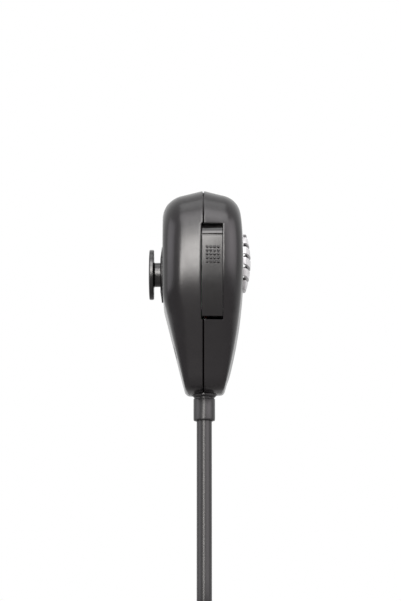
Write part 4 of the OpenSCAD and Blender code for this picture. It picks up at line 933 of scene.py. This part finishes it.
# %% Moulded grain
tree, given, out = new_group(
    "moulded_grain",
    [
        ("Colour", COLOUR, (0.02, 0.02, 0.02, 1)),
        ("Grain mm", FLOAT, 0.35),
        ("Clouds", FLOAT, 0.15),
        ("Roughness", FLOAT, 0.4),
        ("Roughness spread", FLOAT, 0.08),
    ],
    [("Colour", COLOUR), ("Roughness", FLOAT), ("Height", FLOAT)],
)
place = own_place(tree)
per_metre = maths(tree, "DIVIDE", 1 / MM, given.outputs["Grain mm"])
fine = noise(tree, place, per_metre, detail=2.0, roughness=0.6)
cloud = noise(tree, place, 190.0, detail=3.0, roughness=0.55)
both = maths(tree, "ADD", maths(tree, "SUBTRACT", cloud, 0.5), maths(tree, "SUBTRACT", fine, 0.5))
clouded = maths(tree, "MULTIPLY", maths(tree, "MULTIPLY", both, 2.0), given.outputs["Clouds"])
gain = maths(tree, "ADD", clouded, 1.0)
tinted = node(tree, "ShaderNodeVectorMath", [(0, given.outputs["Colour"]), (3, gain)], operation="SCALE")
uneven = maths(tree, "MULTIPLY", both, given.outputs["Roughness spread"])
tree.links.new(tinted.outputs[0], out.inputs["Colour"])
tree.links.new(maths(tree, "ADD", given.outputs["Roughness"], uneven), out.inputs["Roughness"])
tree.links.new(fine, out.inputs["Height"])
moulded_grain = tree
print("moulded_grain:", len(tree.nodes), "nodes")

# %% [markdown]
# The wear group. Pointiness is high where a surface bends outwards, so it finds the edges that
# fingers and brackets rub, and a noise breaks the line up. The group returns only a mask.

# %% Rubbed edges
tree, given, out = new_group("rubbed_edges", [("Amount", FLOAT, 0.3)], [("Mask", FLOAT)])
shape = node(tree, "ShaderNodeNewGeometry")
patch = noise(tree, own_place(tree), 420.0, detail=4.0, roughness=0.65)
edge = between(tree, shape.outputs["Pointiness"], 0.52, 0.62)
mask = maths(tree, "MULTIPLY", edge, between(tree, patch, 0.42, 0.62))
tree.links.new(maths(tree, "MULTIPLY", mask, given.outputs["Amount"], True), out.inputs["Mask"])
rubbed_edges = tree
print("rubbed_edges:", len(tree.nodes), "nodes")

# %% [markdown]
# The dust group. A little pale dust settles where a surface faces up, more in some spots than in
# others. On black plastic even a trace of it reads as real.

# %% Settled dust
tree, given, out = new_group("settled_dust", [("Amount", FLOAT, 0.1)], [("Mask", FLOAT)])
shape = node(tree, "ShaderNodeNewGeometry")
parts = node(tree, "ShaderNodeSeparateXYZ", [(0, shape.outputs["Normal"])])
upward = between(tree, parts.outputs[2], 0.2, 1.0)
specks = noise(tree, own_place(tree), 900.0, detail=5.0, roughness=0.7)
mask = maths(tree, "MULTIPLY", upward, between(tree, specks, 0.48, 0.75))
tree.links.new(maths(tree, "MULTIPLY", mask, given.outputs["Amount"], True), out.inputs["Mask"])
settled_dust = tree
print("settled_dust:", len(tree.nodes), "nodes")

# %% [markdown]
# One recipe serves every moulded, painted or rubber finish: the grain gives colour, roughness and
# height, rubbed edges turn a shade paler and smoother, and dust lies on top. The Principled shader
# stays in the material, and what is the same all over is set on its own sockets. How deep a grain
# goes is given in millimetres.

# %% Recipe for moulded finishes


def place_group(tree, group, links=(), **values):
    made = tree.nodes.new("ShaderNodeGroup")
    made.node_tree = group
    for key, value in values.items():
        made.inputs[key.replace("_", " ")].default_value = value
    for key, source in links:
        tree.links.new(source, made.inputs[key])
    return made


def mix_colour(tree, mask, a, b):
    """Mixes from a to b, each a socket or a colour, by the mask."""
    made = tree.nodes.new("ShaderNodeMix")
    made.data_type = "RGBA"
    tree.links.new(mask, made.inputs["Factor"])
    first_colour, second_colour = 6, 7
    for index, value in ((first_colour, a), (second_colour, b)):
        if isinstance(value, (tuple, list)):
            made.inputs[index].default_value = value
        else:
            tree.links.new(value, made.inputs[index])
    return made.outputs[2]


def new_material(name):
    made = bpy.data.materials.new(name)
    made.use_nodes = True
    return made, made.node_tree, made.node_tree.nodes["Principled BSDF"]


def colour(red, green=None, blue=None):
    return (red, red if green is None else green, red if blue is None else blue, 1)


def grain_bump(tree, shader, height, depth):
    bump = node(tree, "ShaderNodeBump", [("Height", height)])
    bump.inputs["Distance"].default_value = depth * MM
    tree.links.new(bump.outputs[0], shader.inputs["Normal"])


def plain_surface(tree, shader, surface):
    tree.links.new(surface.outputs["Colour"], shader.inputs["Base Color"])
    tree.links.new(surface.outputs["Roughness"], shader.inputs["Roughness"])


dust_colour, usual_dust, usual_spread = colour(0.34, 0.33, 0.31), 0.06, 0.1
edge_polish, dust_dulling, paler_gain, paler_lift = 0.12, 0.3, 1.5, 0.012
finishes = {}


def moulded(name, tint, rough, grain=0.35, depth=0.02, clouds=0.15, wear=0.2, **fixed):
    made, tree, shader = new_material(name)
    look = {"Colour": tint, "Grain_mm": grain, "Clouds": clouds, "Roughness": rough}
    surface = place_group(tree, moulded_grain, Roughness_spread=usual_spread, **look)
    rubbed = place_group(tree, rubbed_edges, Amount=wear).outputs[0]
    dusty = place_group(tree, settled_dust, Amount=usual_dust).outputs[0]
    paler = tuple(min(1.0, paler_gain * v + paler_lift) for v in tint[:3]) + (1,)
    worn = mix_colour(tree, rubbed, surface.outputs["Colour"], paler)
    tree.links.new(mix_colour(tree, dusty, worn, dust_colour), shader.inputs["Base Color"])
    smoother = maths(tree, "MULTIPLY", rubbed, edge_polish)
    polished = maths(tree, "SUBTRACT", surface.outputs["Roughness"], smoother)
    powdered = maths(tree, "ADD", polished, maths(tree, "MULTIPLY", dusty, dust_dulling), True)
    tree.links.new(powdered, shader.inputs["Roughness"])
    grain_bump(tree, shader, surface.outputs["Height"], depth)
    for key, value in fixed.items():
        shader.inputs[key.replace("_", " ")].default_value = value
    finishes[name] = made


print("recipe for moulded finishes ready")

# %% [markdown]
# The finishes that this recipe makes. The case and the lever are satin black plastic, the lever a
# little smoother, and the button's cap is glossier. The grille is painted silver, and paint hides
# most of the metal below, so it is only partly metallic. The sleeve and the cord are a duller black
# rubber.

# %% Moulded finishes
# Name, colour and roughness, then the size and the depth of the grain
matt = {"Specular_IOR_Level": 0.42}
moulded("case", colour(0.0048, 0.0040, 0.0046), 0.24, grain=0.3, depth=0.009, clouds=0.12, **matt)
moulded("lever", colour(0.0046, 0.0041, 0.0043), 0.2, grain=0.3, depth=0.007, **matt)
moulded("grille_silver", colour(0.56, 0.56, 0.565), 0.42, grain=0.22, depth=0.01, clouds=0.2, Metallic=0.35)
moulded("button", colour(0.005), 0.2, grain=0.5, depth=0.002, wear=0.5, **matt)
moulded("button_base", colour(0.005), 0.4, grain=0.3, depth=0.01, **matt)
moulded("sleeve", colour(0.0085, 0.008, 0.0085), 0.34, grain=0.3, depth=0.006, **matt)
moulded("cord", colour(0.0085, 0.008, 0.0082), 0.34, grain=0.35, depth=0.006, wear=0.0, **matt)
moulded("soft_rubber", colour(0.015), 0.6, grain=0.3, depth=0.01)
moulded("inner_plastic", colour(0.012), 0.45, grain=0.3, depth=0.008)
moulded("red_plastic", colour(0.42, 0.022, 0.014), 0.38, grain=0.3, depth=0.006)
moulded("blue_plastic", colour(0.022, 0.07, 0.30), 0.38, grain=0.3, depth=0.006)
moulded("film", colour(0.62, 0.60, 0.52), 0.35, grain=0.2, depth=0.004)
print("moulded finishes:", len(finishes))

# %% [markdown]
# Metals need another recipe. Turned and rolled metal carries fine lines along the cut, and wear
# shows as roughness, not as colour. A noise that is stretched sideways makes the lines, so they run
# level, round the plug's upright axis.

# %% Recipe for metal finishes
tree, given, out = new_group(
    "machined_lines",
    [("Lines per mm", FLOAT, 6.0), ("Roughness", FLOAT, 0.3), ("Roughness spread", FLOAT, 0.15)],
    [("Roughness", FLOAT), ("Height", FLOAT), ("Shade", FLOAT)],
)
place, stretch = own_place(tree), (0.12, 0.12, 1.0)
squeezed = node(tree, "ShaderNodeVectorMath", [(0, place)], operation="MULTIPLY", in_1=stretch)
per_metre = maths(tree, "MULTIPLY", given.outputs["Lines per mm"], 1 / MM)
lines = noise(tree, squeezed.outputs[0], per_metre, detail=3.0, roughness=0.6)
blotch = noise(tree, place, 350.0, detail=4.0, roughness=0.6)
both = maths(tree, "SUBTRACT", maths(tree, "ADD", lines, blotch), 1.0)
uneven = maths(tree, "MULTIPLY", both, given.outputs["Roughness spread"])
tree.links.new(maths(tree, "ADD", given.outputs["Roughness"], uneven, True), out.inputs["Roughness"])
tree.links.new(lines, out.inputs["Height"])
tree.links.new(blotch, out.inputs["Shade"])
machined_lines = tree
line_depth, line_spread, tarnish = 0.003, 0.2, 0.25


def metal(name, tint, rough, lines=5.0):
    made, tree, shader = new_material(name)
    look = {"Lines_per_mm": lines, "Roughness": rough, "Roughness_spread": line_spread}
    surface = place_group(tree, machined_lines, **look)
    darker = tuple(v * (1 - tarnish) for v in tint[:3]) + (1,)
    tree.links.new(mix_colour(tree, surface.outputs["Shade"], darker, tint), shader.inputs["Base Color"])
    tree.links.new(surface.outputs["Roughness"], shader.inputs["Roughness"])
    shader.inputs["Metallic"].default_value = 1.0
    grain_bump(tree, shader, surface.outputs["Height"], line_depth)
    finishes[name] = made


metal("screw_steel", colour(0.30, 0.30, 0.31), 0.34)
metal("oiled_pin", colour(0.09, 0.09, 0.095), 0.42)
metal("plated_steel", colour(0.55, 0.55, 0.54), 0.3)
metal("spring_steel", colour(0.45, 0.45, 0.46), 0.28)
metal("magnet", colour(0.20, 0.20, 0.21), 0.4)
metal("copper", colour(0.62, 0.29, 0.16), 0.3, lines=9.0)
metal("brass", colour(0.64, 0.46, 0.20), 0.26)
metal("plug_metal", colour(0.62, 0.62, 0.62), 0.22, lines=4.0)
print("finishes:", len(finishes))

# %% [markdown]
# Two finishes are woven: the cloth behind the grille and the strap. Threads that go over and under
# each other are two sine waves multiplied, one along the band and one up it, and a fine noise on top
# is the fuzz. An image of a weave would need a flat map of each piece, and this needs none.

# %% Cloth and strap
tree, given, out = new_group(
    "plain_weave",
    [("Threads per mm", FLOAT, 3.0), ("Colour", COLOUR, (0.02, 0.02, 0.02, 1))],
    [("Colour", COLOUR), ("Height", FLOAT)],
)
place = own_place(tree)
parts = node(tree, "ShaderNodeSeparateXYZ", [(0, place)])
turns = maths(tree, "MULTIPLY", given.outputs["Threads per mm"], math.pi / MM)
level = maths(tree, "ADD", parts.outputs[0], parts.outputs[1])
across = maths(tree, "SINE", maths(tree, "MULTIPLY", level, turns))
upright = maths(tree, "SINE", maths(tree, "MULTIPLY", parts.outputs[2], turns))
crossed = maths(tree, "MULTIPLY", maths(tree, "MULTIPLY", across, upright), 0.5)
over_under = maths(tree, "ADD", crossed, 0.5)
fuzz_height, least_shade = 0.6, 0.35
fuzz = maths(tree, "MULTIPLY", noise(tree, place, 2600.0, detail=3.0), fuzz_height)
height = maths(tree, "ADD", over_under, fuzz)
# The colour is darker where the weave lies low: painted shade between the threads, on top of the bump. The
# fuzz only varies the tone at random.
gain = maths(tree, "ADD", height, least_shade)
shade = node(tree, "ShaderNodeVectorMath", [(0, given.outputs["Colour"]), (3, gain)], operation="SCALE")
tree.links.new(shade.outputs[0], out.inputs["Colour"])
tree.links.new(height, out.inputs["Height"])
plain_weave = tree
woven_look = {"Roughness": 0.85, "Sheen Weight": 0.3}


def woven(name, tint, threads, depth):
    made, tree, shader = new_material(name)
    weave = place_group(tree, plain_weave, Threads_per_mm=threads, Colour=tint)
    tree.links.new(weave.outputs["Colour"], shader.inputs["Base Color"])
    grain_bump(tree, shader, weave.outputs["Height"], depth)
    for key, value in woven_look.items():
        shader.inputs[key].default_value = value
    finishes[name] = made


woven("cloth", colour(0.010), 3.2, 0.12)
woven("tie", colour(0.012, 0.0118, 0.012), 1.6, 0.16)
print("finishes with the woven ones:", len(finishes))

# %% [markdown]
# Inside the case there are three more. The circuit board is green under a thin clear lacquer, the
# resistors wear coloured rings that count up their height, set by a ramp of plain steps, and the
# wires are moulded like the rest.

# %% Board, resistors and wires
made, tree, shader = new_material("board")
look = {"Colour": colour(0.012, 0.085, 0.035), "Grain_mm": 1.2, "Clouds": 0.3, "Roughness": 0.32}
plain_surface(tree, shader, place_group(tree, moulded_grain, **look))
shader.inputs["Coat Weight"].default_value = 0.4
finishes["board"] = made

made, tree, shader = new_material("resistor")
resistor_low, resistor_high = -13, -7
height = node(tree, "ShaderNodeSeparateXYZ", [(0, own_place(tree))]).outputs[2]
share = between(tree, height, resistor_low * MM, resistor_high * MM)
bands = node(tree, "ShaderNodeValToRGB", [(0, share)])
bands.color_ramp.interpolation = "CONSTANT"
body_tint = colour(0.52, 0.40, 0.24)
ring_starts, ring_ends = (0.2, 0.4, 0.6, 0.84), (0.28, 0.48, 0.68, 0.9)
ring_tints = [colour(0.32, 0.02, 0.01), colour(0.10, 0.03, 0.15)]
ring_tints += [colour(0.55, 0.16, 0.01), colour(0.5, 0.33, 0.06)]
rings = [(0.0, body_tint)]
for start, end, tint in zip(ring_starts, ring_ends, ring_tints):
    rings += [(start, tint), (end, body_tint)]
ramp_points = bands.color_ramp.elements
while len(ramp_points) < len(rings):
    ramp_points.new(0.5)
for point, (position, tint) in zip(ramp_points, rings):
    point.position, point.color = position, tint
surface = place_group(tree, moulded_grain, [("Colour", bands.outputs[0])], Grain_mm=0.3, Roughness=0.35)
plain_surface(tree, shader, surface)
finishes["resistor"] = made

moulded("wire", colour(0.30, 0.03, 0.02), 0.4, grain=0.4, depth=0.004)
print("finishes:", sorted(finishes))

# %% [markdown]
# Every part gets its finish. The frame names a material slot for each solid, so one table turns
# slots into finishes, and the finer pieces take the finish of the solid they stand for. Only the
# lever's pin differs from its slot: it is steel like the screws, but dark with grease.

# %% Dress every part
slot_of = {part["node"]: part["material_slot"] for part in frame["record"]["subparts"]}
for name, obj in nodes.items():
    obj.data.materials.clear()
    obj.data.materials.append(finishes["oiled_pin" if name == "ptt_pin" else slot_of[name]])
own_pieces = {
    rear_half: "case",
    front_half: "case",
    lever: "lever",
    grille: "grille_silver",
    sleeve: "sleeve",
    strap: "tie",
    cord: "cord",
}
for obj, slot in own_pieces.items():
    obj.data.materials.clear()
    obj.data.materials.append(finishes[slot])
print("dressed:", len(nodes), "solids and", len(own_pieces), "pieces")

# %% [markdown]
# The set: a round pale floor under the plug and a white surround. The surround is white to the
# camera and in reflections, and much dimmer as a source of light, so that the lamps shape the
# object.

# %% Floor and surround
floor_z, floor_r, floor_sides = -330, 1250, 128
surround_light = 0.28
angles = [2 * math.pi * k / floor_sides for k in range(floor_sides)]
points = [(floor_r * math.cos(a), floor_r * math.sin(a), floor_z) for a in angles]
floor = mesh_object("floor", points, [tuple(range(floor_sides))])
made, tree, shader = new_material("floor")
look = {"Colour": colour(0.45, 0.447, 0.442), "Grain_mm": 6.0, "Clouds": 0.03, "Roughness": 0.6}
plain_surface(tree, shader, place_group(tree, moulded_grain, **look))
floor.data.materials.append(made)

world = bpy.data.worlds.new("surround")
bpy.context.scene.world = world
world.use_nodes = True
tree = world.node_tree
sky = tree.nodes["Background"]
ray = node(tree, "ShaderNodeLightPath")
seen = maths(tree, "MAXIMUM", ray.outputs["Is Camera Ray"], ray.outputs["Is Glossy Ray"])
seen = maths(tree, "MAXIMUM", seen, ray.outputs["Is Transmission Ray"])
level = node(tree, "ShaderNodeMapRange", [(0, seen)], in_3=surround_light, in_4=1.0)
sky.inputs["Color"].default_value = colour(1)
tree.links.new(level.outputs[0], sky.inputs["Strength"])
bpy.context.scene.view_settings.view_transform = "Standard"
print("floor at a height of, mm:", floor_z)

# %% [markdown]
# Soft studio lamps. Black plastic shows almost nothing but reflections, so each lamp is placed for
# the reflection that it makes: a tall strip for the bright band along the rear half, a second strip
# above it that carries the band round the shoulder, a panel higher up and one overhead for the top,
# and broad panels to the right and to the left for the soft greys. Each has a grid, as real soft
# lamps often do, that narrows its beam and spares the floor.

# %% Lamps
grid_angle = 95
lamps = []


def panel(name, azimuth, elevation, distance, width, height, radiance, tint=(1, 1, 1), lean=0):
    """A soft panel seen from the case at an azimuth (0 is the camera's side, + is right), facing it.

    Its size and distance are in metres, and lean tips its top to the right, in degrees."""
    data = bpy.data.lights.new(name, "AREA")
    data.shape, data.size, data.size_y = "RECTANGLE", width, height
    data.spread = math.radians(grid_angle)
    # The energy that gives the wanted brightness when the grid stops light from the sides
    grid = math.tan(data.spread / 2)
    data.energy = radiance * math.pi * width * height * (grid - data.spread / 2) / grid
    data.color = tint
    obj = bpy.data.objects.new(name, data)
    bpy.context.scene.collection.objects.link(obj)
    a, e = math.radians(azimuth), math.radians(elevation)
    way = Vector((math.sin(a) * math.cos(e), -math.cos(a) * math.cos(e), math.sin(e)))
    centre = Vector((seam_x * MM, 0, 0))
    obj.location = centre + distance * way
    tip = Quaternion((0, 0, 1), -math.radians(lean))
    obj.rotation_euler = (way.to_track_quat("Z", "Y") @ tip).to_euler()
    obj.visible_camera = False
    lamps.append(obj)


# Name, azimuth and elevation in degrees, distance, width, height, brightness and tint
panel("strip", -7, 5.5, 1.5, 0.235, 1.2, 26, (1, 0.97, 0.945), lean=13)
panel("upper_strip", -1, 38, 1.5, 0.4, 0.7, 10.5, (1, 0.98, 0.97), lean=13)
panel("upper", 10, 56, 1.5, 1.3, 0.6, 4.6, (1, 0.97, 0.99))
panel("overhead", 0, 84, 1.3, 0.8, 0.7, 2.2)
panel("right", 50, 19, 1.5, 2.0, 1.5, 3.7, (1, 0.93, 0.975))
panel("left", -74, 14, 1.5, 1.2, 1.4, 2.4, (0.97, 0.93, 1))
print("lamps:", len(lamps))
